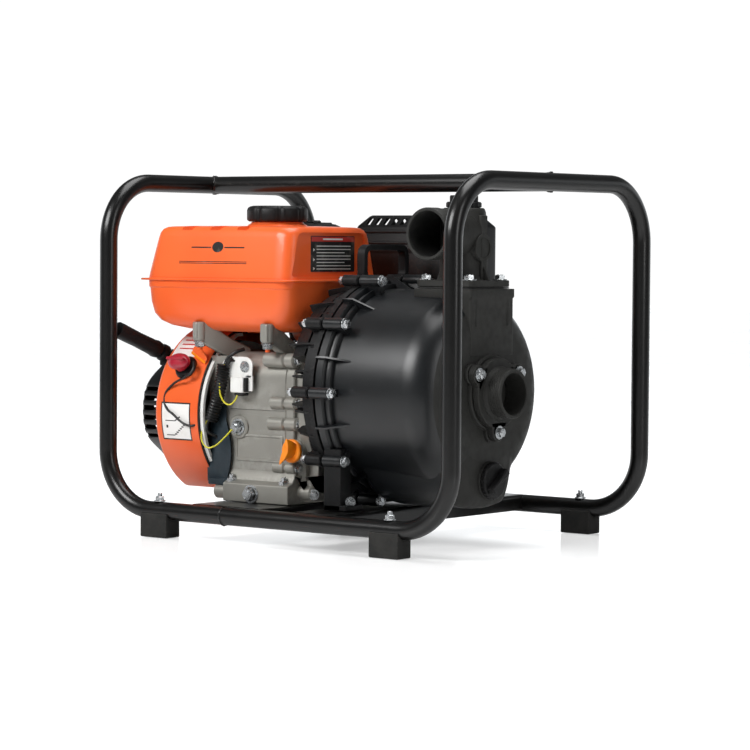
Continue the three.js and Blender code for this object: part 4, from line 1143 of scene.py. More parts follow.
def ignition_module():
    """A white unit on its bracket plate."""
    plate_y = (-131, -128.6)
    points = [(-137, 196, 3), (-87, 196, 3), (-86, 217, 5), (-94, 222, 4), (-122, 222, 4), (-134, 216, 3)]
    bracket = prism("y", rounded(points), plate_y, 0.5)
    bracket.add(prism("y", rectangle((-97, -86), (180, 200), 2), plate_y, 0.5))
    bracket.add(bar("y", 5, (-129, -121), (-98, 210), 24, 0.5))
    piece("module_plate", bracket, [WHITE], ["module_bracket"], bevel=0.4)
    screws = Shape().add(bolt(5, 3.2, 7), toward((-98, -131, 210), (0, -1, 0)))
    screws.add(bolt(3.2, 2, 4.4), toward((-126, -131, 213), (0, -1, 0)))
    piece("module_screws", screws, [ZINC])
    x, y, z = span("oil_alert_unit")
    unit = block((x[0], x[1] - 3.5), y, z, 1.4)
    end = rectangle((y[0] + 1, y[1]), (z[0] + 1, z[1] - 0.5), 1.2)
    unit.add(prism("x", end, (x[1] - 3.6, x[1]), 0.6, 1))
    unit.add(block((x[0] + 4, x[1] - 5), (y[0] + 3, y[1] - 1), (z[0] - 4, z[0] + 1), 1), finish=1)
    piece("module_box", unit, [WHITE, SEAL], ["oil_alert_unit"], bevel=0.4)


def cable(radius, sides, *corners):
    """A wire that runs smoothly through its corners."""
    return tube(spline(corners), radius, sides)


def wire_loom():
    """The corrugated sleeve hanging from the ignition module, and the ends of its wires."""
    sleeve_path = spline([(-129, -135, 212), (-132, -136, 190), (-139, -137, 165), (-148, -136, 143)], 26)
    loom = tube(sleeve_path, [7.8 + 0.9 * math.sin(i * 1.55) for i in range(len(sleeve_path))], 24)
    loom.add(cable(2.4, 10, (-129, -134, 208), (-126, -131, 219), (-117, -127, 227), (-110, -118, 231)))
    loom.add(cable(2.0, 10, (-148, -136, 146), (-152, -139, 138), (-150, -140, 128), (-144, -131, 122)))
    for aside in (0, 2.2, 4.4):
        middle = (-123 + aside, -135, 216)
        loom.add(cable(1.4, 8, (-127 + aside, -136, 208), middle, (-119 + aside, -130, 221 - aside)))
    piece("wire_loom", loom, [WIRE_BLACK])


def loose_leads():
    """The stop switch's black lead, hanging in a loop, and two thin yellow leads."""
    black = cable(
        1.5, 12, (-176, -147, 200), (-180, -151, 194), (-196, -149, 188), (-213, -147, 176),
        (-215, -148.5, 163), (-207, -152, 154), (-196, -153, 148), (-181, -154, 139), (-168, -151, 135),
        (-157, -142, 140),
    )
    black.add(cable(2.2, 12, (-172, -142, 214), (-168, -147, 206), (-171, -150, 199), (-178, -150, 197)))
    piece("switch_lead", black, [WIRE_BLACK])
    yellow = cable(
        1.0, 10, (-150, -138, 144), (-156, -143, 132), (-155, -146, 118), (-146, -146, 109),
        (-135, -142, 112), (-126, -136, 122), (-119, -133, 130), (-115, -131, 135),
    )
    yellow.add(cable(
        1.0, 10, (-126, -137, 212), (-129, -141, 196), (-129, -142, 178), (-123, -141, 166),
        (-115, -139, 163), (-109, -136, 169), (-107, -133, 178),
    ))
    piece("yellow_leads", yellow, [WIRE_YELLOW])


# ---------------------------------------------------------------- tank
TANK_X, TANK_Y = (-254, -12), (-152, 34)  # the lip round the seam
TANK_SEAM = 316
TANK_PANEL_X = -21  # the sunken field that carries the warning panel
TANK_NEAR_CORNERS = (15, 25)  # radii of the vertical corners on the recoil and the pump side


def tank_rings(levels):
    """Rings of the tank: every level is z and how far its left, near, right and far sides draw in."""
    (x0, x1), (y0, y1) = TANK_X, TANK_Y
    rings = []
    for z, left, near, right, far in levels:
        on_lip = abs(z - TANK_SEAM) < 1.2
        recoil, pump = (4, 20) if on_lip else TANK_NEAR_CORNERS
        corners = [(x0 + left, y0 + near, recoil), (x1 - right, y0 + near, pump)]
        corners += [(x1 - right, y1 - far, 20), (x0 + left, y1 - far, recoil)]
        rings.append([(u, v, z) for u, v in rounded(corners, steps=10)])
    return rings


def fuel_tank():
    """Two pressed halves meeting in a thin lip, with the cap's neck, three grooves and the panel's recess."""
    lower = [(252, 110, 36, 44, 34), (252.5, 86, 27, 34, 28), (255, 58, 20, 25, 21), (259, 34, 14.5, 18, 15)]
    lower += [(265, 20, 10, 12.5, 11), (274, 12, 7, 9, 8), (288, 8, 5.4, 6, 6), (305, 6, 5, 4.6, 5)]
    lower += [(307, 5.2, 3.6, 3.8, 4), (314.6, 5, 3.4, 3.6, 3.6)]
    lip = [(314.9, 0.4, 0.4, 0.4, 0.4), (315.3, 0, 0, 0, 0), (316.7, 0, 0, 0, 0), (317.1, 0.4, 0.4, 0.4, 0.4)]
    upper = [(317.5, 5, 3.6, 3.4, 3.6), (322, 5.6, 4.1, 3.6, 4.4), (345, 10, 7.6, 4.6, 9)]
    upper += [(368, 14.5, 11.4, 6, 13.8), (374, 16, 12.8, 7, 15.4), (378.6, 18.5, 15.4, 9.2, 18)]
    upper += [(381.2, 22.5, 19.4, 13, 22.5), (382, 28, 25, 19, 28), (382.6, 42, 38, 32, 40)]
    shape = Shape().body(tank_rings(lower + lip + upper + [(383, 62, 60, 50, 60)]))
    cap_x, cap_y, _ = span("fuel_cap")
    shape.add(turned("z", [(380, 40), (384.5, 36), (386, 33), (388, 32)], (mid(cap_x), mid(cap_y)), 64))
    hollows = Shape()
    for x in (-196, -150, -106):
        groove = rounded([(x, 377), (x + 16, 377), (x + 20, 386), (x - 4, 386)], 1)
        hollows.add(prism("y", groove, (-150, -112)))
    recess = [(-138, 321, 5), (10, 321, 5), (2, 375, 7), (-124, 375, 9)]
    hollows.add(prism("x", rounded(recess), (TANK_PANEL_X, 0)))
    piece("tank_shell", shape, [ORANGE], ["fuel_tank"], crease=32, carve=hollows)


def warning_panel():
    """Plain ruled lines on the pump side of the tank."""
    face = TANK_PANEL_X
    panel = prism("x", rectangle((-99, -14), (327, 371), 1.5), (face - 0.3, face + 0.4), 0.15)
    for row in range(8):
        z = 358 - row * 4
        right = -34 if row % 3 == 2 else -22
        panel.add(prism("x", rectangle((-88, right), (z, z + 1.1), 0), (face, face + 0.7)), finish=1)
    panel.add(prism("x", rectangle((-98, -15), (364, 370), 0.5), (face, face + 0.6)), finish=2)
    panel.add(prism("x", rectangle((-76, -38), (366, 368), 0), (face, face + 0.9)), finish=1)
    for z in (354, 342, 331):
        panel.add(bar("x", 2.2, (face, face + 0.7), (-93.5, z), 3, 0), finish=1)
    piece("tank_warning_panel", panel, [LABEL_BLACK, WHITE, LABEL_RED])


def tank_mark():
    """A plain disc between two bars over two rules, on the near side."""
    mark = near_decal([(-133 + 9 * math.cos(a), 356.5 + 6.5 * math.sin(a)) for a in turns(32)])
    for x in ((-176, -144), (-122, -90)):
        mark.add(near_decal(rectangle(x, (355.2, 356.8))))
    for z in (338, 336):
        mark.add(near_decal(rectangle((-194, -84), (z, z + 0.9))))
    piece("tank_mark", mark, [LABEL_BLACK])


def near_decal(outline):
    """A thin decal on the near side of the tank's upper half; the outline is (x, z)."""
    rings = []
    for lift in (0.35, -0.6):
        rings.append([(x, -148.6 + (z - 317) * 0.158 - lift, z) for x, z in outline])
    return Shape().body(rings)


def fuel_cap():
    """A round knob with eight grip notches."""
    x, y, (_, high) = span("fuel_cap")
    low = high - 20

    def lobes(angle, t):
        return -2.6 * max(0.0, math.cos(8 * angle)) ** 3 if low + 1 < t < high - 0.5 else 0

    profile = [(low - 8, 21), (low, 21), (low, 35), (low + 1.6, 37.6), (low + 3, 38), (high - 6, 38)]
    profile += [(high - 3, 36.8), (high - 1.2, 34), (high - 0.4, 30), (high - 1.6, 28), (high - 2, 10)]
    profile += [(high - 1.2, 8), (high - 1.2, 0.5)]
    shape = turned("z", profile, (mid(x), mid(y)), 180, wave=lobes)
    piece("tank_cap_knob", shape, [PLASTIC], ["fuel_cap"], body="tank_cap", crease=40)


def tank_arm(name, node, start, end):
    """A cast arm from the pad under the tank down to the crankcase."""
    start, end = Vector(start), Vector(end)
    along = end - start
    run, drop = along.xy.length, along.z
    outline = [(-8, -10, 3), (6, -17, 3), (run, drop - 17, 4), (run + 12, drop - 15, 3)]
    outline += [(run + 12, drop + 3, 3), (run * 0.75, drop * 0.55 + 4, 8), (8, 12, 3), (-8, 12, 3)]
    arm = prism("y", rounded(outline), (-6.5, 6.5), 1.4)
    arm.add(bar("z", 8, (-12, 12), (0, 0), 36, 1.4))
    place = Matrix.Translation(start) @ Matrix.Rotation(math.atan2(along.y, along.x), 4, "Z")
    piece(name, Shape().add(arm, place), [CAST], [node], bevel=1.0)
    hardware = Shape().add(bolt(6.6, 5.6, 8.2), toward(start + Vector((0, 0, -12)), (0, 0, -1)), finish=0)
    hardware.add(bar("z", 3.2, (start.z - 23, start.z - 17), start.xy, 16, 0.5), finish=1)
    piece(name + "_nut", hardware, [ZINC, ORANGE])


# ---------------------------------------------------------------- fuel, air and exhaust
INTAKE = (92, 250)  # the intake's axis along X, as (y, z)
HORN = (-174, 97)  # the riser between carburettor and air cleaner, as (x, y)
CHOKE_PIVOT, TAP_PIVOT = (-185, 262), (-165, 244)


def carburettor():
    x, y, z = span("carburettor")
    shape = block((x[0] + 4, x[1] - 6), (y[0] + 4, y[1] - 4), (240, 274), 4)
    shape.add(bar("x", 17, x, INTAKE, 48, 1.5))
    shape.add(bar("z", 17, (z[0], 246), HORN, 48, 3))
    shape.add(sleeve("z", 18, 13, (270, z[1]), HORN, 48, 1))
    shape.add(bar("z", 4, (z[0], z[0] + 3), HORN, 20, 0.8))
    for pivot in (CHOKE_PIVOT, TAP_PIVOT):
        shape.add(bar("y", 4, (110, 122), pivot, 20, 0.6))
    shape.add(block((x[1] - 9, x[1]), (y[0] + 1, y[1] - 8), (234, 268), 3))
    piece("carburettor_body", shape, [CAST], ["carburettor"], bevel=0.6)
    screws = Shape().add(bolt(4, 3, 5.4), toward((*HORN, 270), (0.5, -0.8, 0.2)))
    for screw_y, screw_z in ((80, 240), (104, 262)):
        screws.add(bolt(4.2, 3.4, 5.8, stud=2), toward((x[1], screw_y, screw_z), (1, 0, 0)))
    piece("carburettor_screws", screws, [ZINC])


def flat_lever(name, node, body, pivot, reach):
    """A pressed lever with a hub and a knob, in a plane facing +Y."""
    start, end = Vector(pivot), Vector(pivot) + Vector(reach)
    along = (end - start).normalized() * 4
    across = Vector((-along.y, along.x))
    corners = (start - across, end - across + along, end + across + along, start + across)
    shape = prism("y", rounded([tuple(corner) for corner in corners], 3.5), (124, 126.5), 0.4)
    shape.add(bar("y", 7, (122.3, 127.5), start, 32, 0.6))
    shape.add(turned("y", [(124, 4.4), (129, 3.8), (131, 4.8), (134, 4.4)], end, 28, finish=1))
    piece(name, shape, [STEEL, PLASTIC], [node], body=body)


def throttle():
    """A lever on an upright spindle, with a knob at its far end."""
    _, (near, _), (low, high) = span("throttle_lever")
    x, y = -205, near + 8
    shape = bar("z", 4, (low, low + 8), (x, y), 20, 0.5)
    shape.add(bar("z", 8, (low + 4, low + 10), (x, y), 36, 0.8))
    shape.add(prism("z", rectangle((x - 5, x + 5), (y - 5, y + 45), 4.5), (low + 6, low + 8.4), 0.4))
    knob = [(low + 6, 6), (low + 9, 4.6), (low + 14, 4.8), (low + 17, 6), (high, 5)]
    shape.add(turned("z", knob, (x, y + 40), 36, finish=1))
    piece("throttle_arm", shape, [STEEL, PLASTIC], ["throttle_lever"], body="throttle")


def thin_walled(x, y, corner, outside, inside, steps):
    """An upside-down tray; both skins are given as (z, inset) from the rim to the middle."""
    outer = stack(shrinking(x, y, corner, outside), steps)
    inner = stack(shrinking(x, y, corner, inside), steps)
    return Shape().body(list(reversed(inner)) + outer)


def air_cleaner():
    x, y, (bottom, _) = span("air_cleaner_base")
    _, _, (seam, top) = span("air_cleaner_cover")
    tray = [(300, 9), (302, 5), (306, 1.2), (308, 0), (seam - 3.5, 0), (seam - 3, 1.2), (seam - 0.3, 1.2)]
    base = Shape().body(stack(shrinking(x, y, 22, tray), 10))
    base.add(sleeve("z", 18, 13, (bottom, 302), HORN, 48, 1))
    piece("air_cleaner_tray", base, [PLASTIC], ["air_cleaner_base"])
    outside = [(seam + 0.3, 0), (seam + 5, 0), (seam + 6.5, 1.6), (seam + 42, 3)]
    outside += [(top - 22, 5), (top - 12, 8), (top - 5, 13), (top - 1.2, 20), (top, 27)]
    inside = [(seam - 0.3, 3)] + [(height - 2.4, d + 3) for height, d in outside[1:]]
    cover = thin_walled(x, y, 22, outside, inside, 10)
    rib = rectangle((y[0] + 26, y[1] - 26), (top - 3, top + 1.2), 1.5)
    for left in (x[0] + 29, x[0] + 43, x[0] + 57):
        cover.add(prism("x", rib, (left, left + 3), 0.6))
    piece("air_cleaner_lid", cover, [PLASTIC], ["air_cleaner_cover"])
    profile = [(top - 1, 8), (top + 2, 9), (top + 4, 7)]
    knob = turned("z", profile, (mid(x), mid(y)), 36, wave=lambda a, t: math.cos(6 * a))
    piece("air_cleaner_nut", knob, [PLASTIC])


GUARD_SHEET = 1.4


def silencer_guard():
    """A sheet box open at the bottom, slotted along its top edges, with an outlet and louvres behind."""
    (x0, x1), y, z = span("silencer_guard")
    x0 -= 9
    outside = [(z[0], 0), (z[1] - 15, 0), (z[1] - 13, 1.2), (z[1] - 1.5, 12.5), (z[1], 15)]
    inside = [(z[0], GUARD_SHEET)] + [(height - GUARD_SHEET, d + GUARD_SHEET) for height, d in outside[1:]]
    guard = thin_walled((x0, x1), y, 8, outside, inside, 5)
    holes = Shape()
    slot_z = (z[1] - 12, z[1] - 4)
    for row in range(9):
        left = x0 + 16 + row * 13.5
        for near_edge in ((y[0] - 4, y[0] + 12.5), (y[1] - 12.5, y[1] + 4)):
            holes.add(block((left, left + 6.5), near_edge, slot_z, 0))
    for row in range(3):
        near = y[0] + 20.5 + row * 17.3
        holes.add(block((x0 - 4, x0 + 14), (near, near + 8.3), (z[1] - 14, z[1] - 4), 0))
    holes.add(bar("y", 14, (y[1] - 6, y[1] + 6), (60, 345), 40, 0))
    for level in (365, 352, 339):
        for row in range(5):
            left = x0 + 14 + row * 26
            holes.add(block((left, left + 20), (y[1] - 5, y[1] + 5), (level, level + 5), 0))
    piece("guard_shell", guard, [GUARD], ["silencer_guard"], carve=holes)
    ribs = Shape()
    for level in (377, 363):
        ribs.add(bar("x", 1.8, (x0 + 6, x1 - 6), (y[0], level), 16, 0.6))
    ribs.add(loop_band((x0 + 6, x1 - 10), (318, 356), (y[0] - 1.6, y[0] + 1)))
    for x in (x0 + 10, x1 - 10):
        ribs.add(Shape().add(bolt(4.6, 3.4, 6.4), toward((x, y[0], 316), (0, -1, 0))), finish=1)
    piece("guard_ribs", ribs, [GUARD, ZINC])


def loop_band(x, z, depth):
    """A raised rounded-rectangle frame in a plane facing Y."""
    width, corner = 4.5, 9
    outer = rectangle(x, z, corner, 6)
    inner = rectangle((x[0] + width, x[1] - width), (z[0] + width, z[1] - width), corner - width * 0.6, 6)
    return framed("y", inner, outer, depth)


def exhaust_elbow():
    """The bent pipe from the cylinder head up into the silencer, with its flange and nuts."""
    path = bends([(-41, 96, 240), (5, 96, 240), (5, 96, 330)], 24, 10)
    pipe = tube(path, 12, 36)
    pipe.add(prism("x", rectangle((74, 118), (224, 256), 8), (-44, -37), 1))
    piece("exhaust_pipe", pipe, [STEEL])
    nuts = Shape()
    for y in (79, 113):
        nuts.add(bolt(5, 4, 6.4, stud=3), toward((-37, y, 240), (1, 0, 0)))
    piece("exhaust_nuts", nuts, [ZINC])


# ---------------------------------------------------------------- pump bracket
BOLT_CIRCLE = 139
BOLTS = 10
DRUM_R, DRUM_FRONT, DRUM_ROUNDING = 121, 207, 42
DRUM_SPLIT = 10  # points of the drum's profile that belong to its matt front
FLANGE_X = (46.4, 75.6)  # the drum's bosses on the bolt circle
FOOT_R = 138  # the drum's foot, from the ring's centre
EAR_R = 46.5  # bolts round the suction port


def ring_place(degrees, radius):
    """Y and Z at an angle from the top of the pump's ring."""
    a = math.radians(degrees)
    return (RING[0] + radius * math.sin(a), RING[1] + radius * math.cos(a))


def ring_bolts():
    """Each casing bolt's angle in degrees, with its Y and Z."""
    angles = [360 / BOLTS * (i + 0.5) for i in range(BOLTS)]
    return [(degrees, ring_place(degrees, BOLT_CIRCLE)) for degrees in angles]


def ring_fin(degrees, points, thick=2.2):
    """A thin radial fin; its outline is (x, radius)."""
    a = math.radians(degrees)
    rings = []
    for side in (-thick / 2, thick / 2):
        ring = []
        for x, radius in points:
            y, z = ring_place(degrees, radius)
            ring.append((x, y + side * math.cos(a), z - side * math.sin(a)))
        rings.append(ring)
    return Shape().body(rings)


def pump_bracket():
    """The ribbed bell between crankcase cover and drum, with a boss for each casing bolt."""
    x0 = span("pump_bracket")[0][0]
    profile = [(x0, 92), (x0 + 1.2, 100), (4, 104), (9, 108), (16, 113), (19, 117), (21, 124), (24, 128)]
    profile += [(34, 128), (36, 133), (44, 133), (44, 118), (30, 110), (30, 24), (13, 24), (13, 13), (x0, 13)]
    shape = turned("x", profile, RING, 144, loop=True)
    for degrees, at in ring_bolts():
        shape.add(bar("x", 7.0, (19, 44), at, 28, 1.4))
        shape.add(ring_fin(degrees, [(20, 124), (20, 136), (44, 136), (44, 124)], 8))
    outline = [(-1, 92), (3, 108), (6, 122), (36, 131), (36, 120), (14, 100)]
    for i in range(BOLTS):
        for aside in (-6.7, 6.7):
            shape.add(ring_fin(360 / BOLTS * i + aside, outline, 2.6))
    outline = [(x0 - 9, 101), (x0 - 9, 109), (14, 119), (30, 119), (30, 58), (x0, 58)]
    for i in range(2 * BOLTS):
        shape.add(ring_fin(180 / BOLTS * (i + 0.5), outline))
    shape.add(bell_shoulder())
    piece("bracket_casting", shape, [PLASTIC], ["pump_bracket"], crease=34)


def bell_shoulder():
    """The fuller, ribbed part of the bracket on the side of the tank."""
    section = [(-7, 96), (-7, 116), (-2, 121), (19, 126), (19, 96)]
    rings = [[(t, *ring_place(degrees, r)) for t, r in section] for degrees in range(-70, -18, 2)]
    shoulder = Shape().body(rings)
    for degrees in (-18, -36, -50, -64):
        shoulder.add(ring_fin(degrees, [(-9, 100), (-9, 126), (20, 131), (36, 131), (36, 100)]))
    return shoulder


def bracket_loop():
    """The rounded guard loop standing on top of the bracket."""
    y, top, band_width = (-60, 29), 361, 7
    outer = rectangle(y, (300, top), 14, 8)
    inner = rectangle((y[0] + band_width, y[1] - band_width), (322, top - band_width), 8, 8)
    loop = framed("x", inner, outer, (20, 32))
    piece("bracket_loop", loop, [PLASTIC], bevel=1.2)


def rim_bolts():
    """Heads on the drum's side, and domed nuts on the bracket's side."""
    heads = Shape()
    skirt = turned("z", [(0, 5.4), (4.5, 5.4), (4.9, 5.0)], (0, 0), 6)
    dome = turned("z", [(4.5, 4.6), (6.4, 4.2), (8, 2.8), (8.8, 0.8)], (0, 0), 24)
    for _, at in ring_bolts():
        heads.add(bolt(5.6, 4.6, 7.0), toward((FLANGE_X[1], *at), (1, 0, 0)))
        behind = toward((19.2, *at), (-1, 0, 0))
        heads.add(skirt, behind).add(dome, behind)
    piece("rim_bolts", heads, [ZINC])


# ---------------------------------------------------------------- pump casing
def drum_profile():
    """(x, radius) from the flange, with its two lips, to the start of the flat front."""
    x0 = span("pump_body")[0][0]
    profile = [(x0, 60), (x0, 131.5), (x0 + 0.8, 132.6), (x0 + 10, 132.6), (x0 + 11, 131.4), (x0 + 12, 127)]
    profile += [(x0 + 15, 126.5), (x0 + 16, 128.6), (x0 + 18.5, 128.6), (x0 + 19.4, 127), (x0 + 20, 122.6)]
    for a in sweep(0, math.pi / 2, 24):
        along = DRUM_FRONT - DRUM_ROUNDING + DRUM_ROUNDING * math.sin(a)
        profile.append((along, DRUM_R - DRUM_ROUNDING + DRUM_ROUNDING * math.cos(a)))
    return profile


def pump_drum():
    profile = drum_profile()
    shape = turned("x", profile[: 1 - DRUM_SPLIT], RING, 200)
    front = [(DRUM_FRONT + 0.2, 60), (DRUM_FRONT + 0.4, 0.5)]
    shape.add(turned("x", profile[-DRUM_SPLIT:] + front, RING, 200, finish=1))
    back = FLANGE_X[0]
    for degrees, at in ring_bolts():
        shape.add(bar("x", 7.2, FLANGE_X, at, 28, 1.2))
        shape.add(ring_fin(degrees, [(back, 120), (back, 137), (74, 137), (74, 118)], 9))
    outline = [(back, 126), (back, 137.5), (62, 137), (88, 122.5), (90, 118), (60, 118)]
    for i in range(BOLTS):
        shape.add(ring_fin(360 / BOLTS * i, outline))
    piece("pump_drum", shape, [DRUM, FRONT], ["pump_body"], crease=34)


def pump_legs():
    """Two legs from the flange down to the crossbar, with their webs and nuts."""
    shape, nuts = Shape(), Shape()
    back, (foot, sole) = FLANGE_X[0], (43.8, 51)
    for side in (-1, 1):

        def beside(distance):
            return RING[0] + side * distance

        shape.add(block((back, 72), sorted((beside(94), beside(114))), (foot, 117.5), 1.5))
        shape.add(block((back, 80), sorted((beside(80), beside(114))), (foot, sole), 1.5))
        web = [(beside(114), sole), (beside(94), sole), (beside(60), 74), (beside(94), 108)]
        shape.add(prism("x", web, (50, 62)))
        nuts.add(bolt(4.8, 4.2, 6.2, stud=3), toward((76, beside(100), 54.5), (0.8, side, 0.1)))
        nuts.add(bolt(4.8, 4, 6.2), toward((91, beside(60), 53), (0, side, 0.2)))
    piece("pump_legs", shape, [PLASTIC], bevel=1.1)
    piece("leg_nuts", nuts, [ZINC])


def pump_sump():
    """The bottom of the drum, where it swells into a foot that ends flush with its front."""
    stations = [(78, 9), (80, 4), (85, 1), (92, 0), (186, 0)]
    stations += [(196, 1.2), (202, 3.5), (205.4, 6.5), (206.9, 10)]
    rings = []
    for t, drop in stations:
        over = max(t - (DRUM_FRONT - DRUM_ROUNDING), 0) / DRUM_ROUNDING
        drum = DRUM_R - DRUM_ROUNDING + DRUM_ROUNDING * math.sqrt(max(1 - over * over, 0)) - 0.6
        ring = []
        for degrees in range(-50, 51, 2):
            share = min(max((47 - 14 * over - abs(degrees)) / 22, 0), 1)
            ease = share * share * (3 - 2 * share)
            ring.append((t, *ring_place(180 + degrees, drum + (FOOT_R - drop - drum) * ease)))
        ring += [(t, *ring_place(230, 70)), (t, *ring_place(130, 70))]
        rings.append(ring)
    shape = Shape().body(rings[:5]).body(rings[4:], finish=1)
    piece("pump_sump", shape, [DRUM, FRONT], crease=50)


def discharge_pad():
    """The box on top of the drum that carries the discharge flange, with a lip and four gussets."""
    x, y, (seat, _) = span("discharge_gasket")
    y = (y[0], y[1] + 5)
    lip_x, lip_y = (x[0] - 1.2, x[1] + 1.2), (y[0] - 1.2, y[1] + 1.2)
    levels = [(230, x, y, 3), (seat - 12, x, y, 3)]
    levels += [(seat - 10, lip_x, lip_y, 3), (seat - 0.4, lip_x, lip_y, 3)]
    shape = Shape().body(stack(levels, 5))
    gusset = [(x[0] + 2, seat - 10), (x[0] - 26, seat - 22), (x[0] - 26, seat - 60), (x[0] + 2, seat - 60)]
    for side in (y[0] + 3, y[1] - 7):
        shape.add(prism("y", gusset, (side, side + 4), 0.5))
    wedge = [(x[1], seat - 12), (x[1] + 1, seat - 44), (x[1] - 14, seat - 60), (x[1] - 14, seat - 12)]
    for side in (y[0] + 10, y[1] - 14):
        shape.add(prism("y", wedge, (side, side + 4), 0.5))
    piece("discharge_pad", shape, [FRONT], bevel=0.8)


# ---------------------------------------------------------------- pump ports and plugs
def suction_ears():
    """Each bolt round the suction port: its angle, with its Y and Z."""
    angles = [math.radians(degrees) for degrees in (270, 30, 150)]
    return [(a, (SUCTION[0] + EAR_R * math.cos(a), SUCTION[1] + EAR_R * math.sin(a))) for a in angles]


def pump_front():
    """The bosses on the drum's front for the suction port and the drain plug."""
    drain = tuple(mid(pair) for pair in span("drain_plug")[1:])
    face = turned("x", [(200, 47), (208, 46), (211, 45), (212, 43.6), (212, 0.5)], SUCTION, 96)
    for _, at in suction_ears():
        face.add(bar("x", 12.5, (200, 212), at, 40, 1.2))
    face.add(turned("x", [(196, 24), (208, 23), (210, 22), (210, 0.5)], drain, 72))
    piece("pump_front", face, [FRONT], crease=30)


def suction_port():
    """A three-eared flange with a threaded spout."""
    x0, x1 = span("suction_port")[0]
    flange = x0 + 8.7
    shape = sleeve("x", 42, 25, (x0, flange), SUCTION, 96, 1)
    bolts = Shape()
    for a, at in suction_ears():
        shape.add(bar("x", 11, (x0, flange), at, 40, 1))
        shape.add(ear_web(a, (x0, flange)))
        bolts.add(bolt(6, 5, 8.2), toward((flange, *at), (1, 0, 0)))
    spout = [(flange - 1, 33), (flange + 2, 31), (flange + 4, 29.6), (x1 - 1, 29.5), (x1, 28.6), (x1, 26)]
    shape.add(turned("x", spout + [(x1 - 1.2, 25), (flange - 1, 25)], SUCTION, 96, loop=True))
    for i in range(5):
        t = flange + 7 + i * 2.6
        shape.add(sleeve("x", 30.1, 27, (t, t + 1.1), SUCTION, 96, 0.3))
    piece("suction_flange", shape, [FRONT], ["suction_port"], crease=30)
    piece("suction_bolts", bolts, [ZINC])


def ear_web(angle, ends):
    """Fills between a flange ear and the round of the flange."""
    outline = []
    for turn, reach in ((-0.42, 38), (-0.2, 50), (0.2, 50), (0.42, 38)):
        a = angle + turn
        outline.append((SUCTION[0] + reach * math.cos(a), SUCTION[1] + reach * math.sin(a)))
    return prism("x", outline, ends, 0.8)


def discharge_elbow():
    """A riser on a square flange, with its mouth to the near side and a short branch to the pump side."""
    _, (mouth_y, _), (base, top) = span("discharge_elbow")
    gasket_x, gasket_y, _ = span("discharge_gasket")
    cx, cy = RISER
    flange = base + 8
    shape = prism("z", rectangle(gasket_x, gasket_y, 8, 6), (base, flange), 1)
    riser = [(base + 7, 33), (base + 10, 30), (base + 14, 28.4), (top - 14, 28), (top - 12, 27)]
    shape.add(turned("z", riser + [(top - 5, 26.4), (top - 1.2, 25), (top, 23.5)], RISER, 96))
    outlet = (cx, 374)
    lip = mouth_y - 5
    mouth = [(lip, 27.6), (lip, 30.4), (lip + 1, 31), (mouth_y + 12, 31), (mouth_y + 13, 30.2)]
    mouth += [(cy + 6, 30.2), (cy + 6, 27), (lip + 0.8, 27)]
    shape.add(turned("y", mouth, outlet, 96, loop=True))
    branch = (cy - 2, 358)
    shape.add(bar("x", 16.5, (cx + 10, 197), branch, 48, 1.2))
    shape.add(sleeve("x", 16.5, 12.5, (196, 198.4), branch, 48, 0.5))
    spine = [(cx + 20, 398), (cx + 31, 396), (cx + 31, flange), (cx + 20, flange)]
    shape.add(prism("y", spine, (cy - 6, cy + 6), 0.8))
    for side in (-1, 1):
        gusset = [(cx + side * 22, base + 7), (cx + side * 39, base + 7), (cx + side * 27, base + 34)]
        shape.add(prism("y", gusset, (cy - 2, cy + 2), 0.4))
        gusset = [(cy + side * 22, base + 7), (cy + side * 38, base + 7), (cy + side * 27, base + 30)]
        shape.add(prism("x", gusset, (cx - 2, cx + 2), 0.4))
    lining = [(lip + 3, 26.9), (lip + 3, 26.6), (mouth_y + 60, 26.6), (mouth_y + 60, 26.9)]
    shape.add(turned("y", lining, outlet, 96, loop=True, finish=1))
    piece("discharge_casting", shape, [FRONT, SEAL], ["discharge_elbow"], crease=32)
    bolts = Shape()
    for x in (gasket_x[0] + 10, gasket_x[1] - 10):
        for y in (gasket_y[0] + 10, gasket_y[1] - 10):
            bolts.add(bolt(6.4, 5, 8.8), toward((x, y, flange), (0, 0, 1)))
    piece("discharge_bolts", bolts, [ZINC])


def grip_bar(length, height, thick):
    """The wing of a plug, waisted in the middle, drawn along +Z with its length along X."""
    end, side = length / 2, thick / 2
    waist = side * 0.62
    outline = [(-end, -side), (0, -waist, 0), (end, -side), (end, side), (0, waist, 0), (-end, side)]
    return prism("z", rounded(outline, 2), (0, height), 1.2)


def filler_plug():
    x, _, z = span("fill_plug")
    seat = span("discharge_elbow")[2][1] + 0.3

    def knurl(angle, t):
        return 0.5 * math.cos(24 * angle) if seat < t < seat + 6 else 0

    profile = [(z[0], 14.8), (seat, 15.4), (seat, 19.5), (seat + 1, 21), (seat + 5.5, 21), (seat + 7, 19.6)]
    shape = turned("z", profile, RISER, 64, wave=knurl)
    grip = seat + 6
    shape.add(grip_bar(x[1] - x[0] - 4, z[1] - grip, 8), Matrix.Translation((*RISER, grip)))
    piece("filler_plug_cap", shape, [PLASTIC], ["fill_plug"], body="filler_plug")


def drain_plug():
    (x0, x1), y, z = span("drain_plug")
    at = (mid(y), mid(z))
    grip = 216

    def knurl(angle, t):
        return 0.5 * math.cos(26 * angle) if 210.5 < t < grip else 0

    profile = [(x0, 8.2), (210.3, 8.6), (210.3, 20.5), (211.3, 22), (215.6, 22), (217, 20.4)]
    shape = turned("x", profile, at, 72, wave=knurl)
    place = toward((grip, *at), (1, 0, 0)) @ Matrix.Rotation(math.radians(38), 4, "Z")
    shape.add(grip_bar(38, x1 - grip, 9), place)
    piece("drain_plug_cap", shape, [PLASTIC], ["drain_plug"], body="drain")


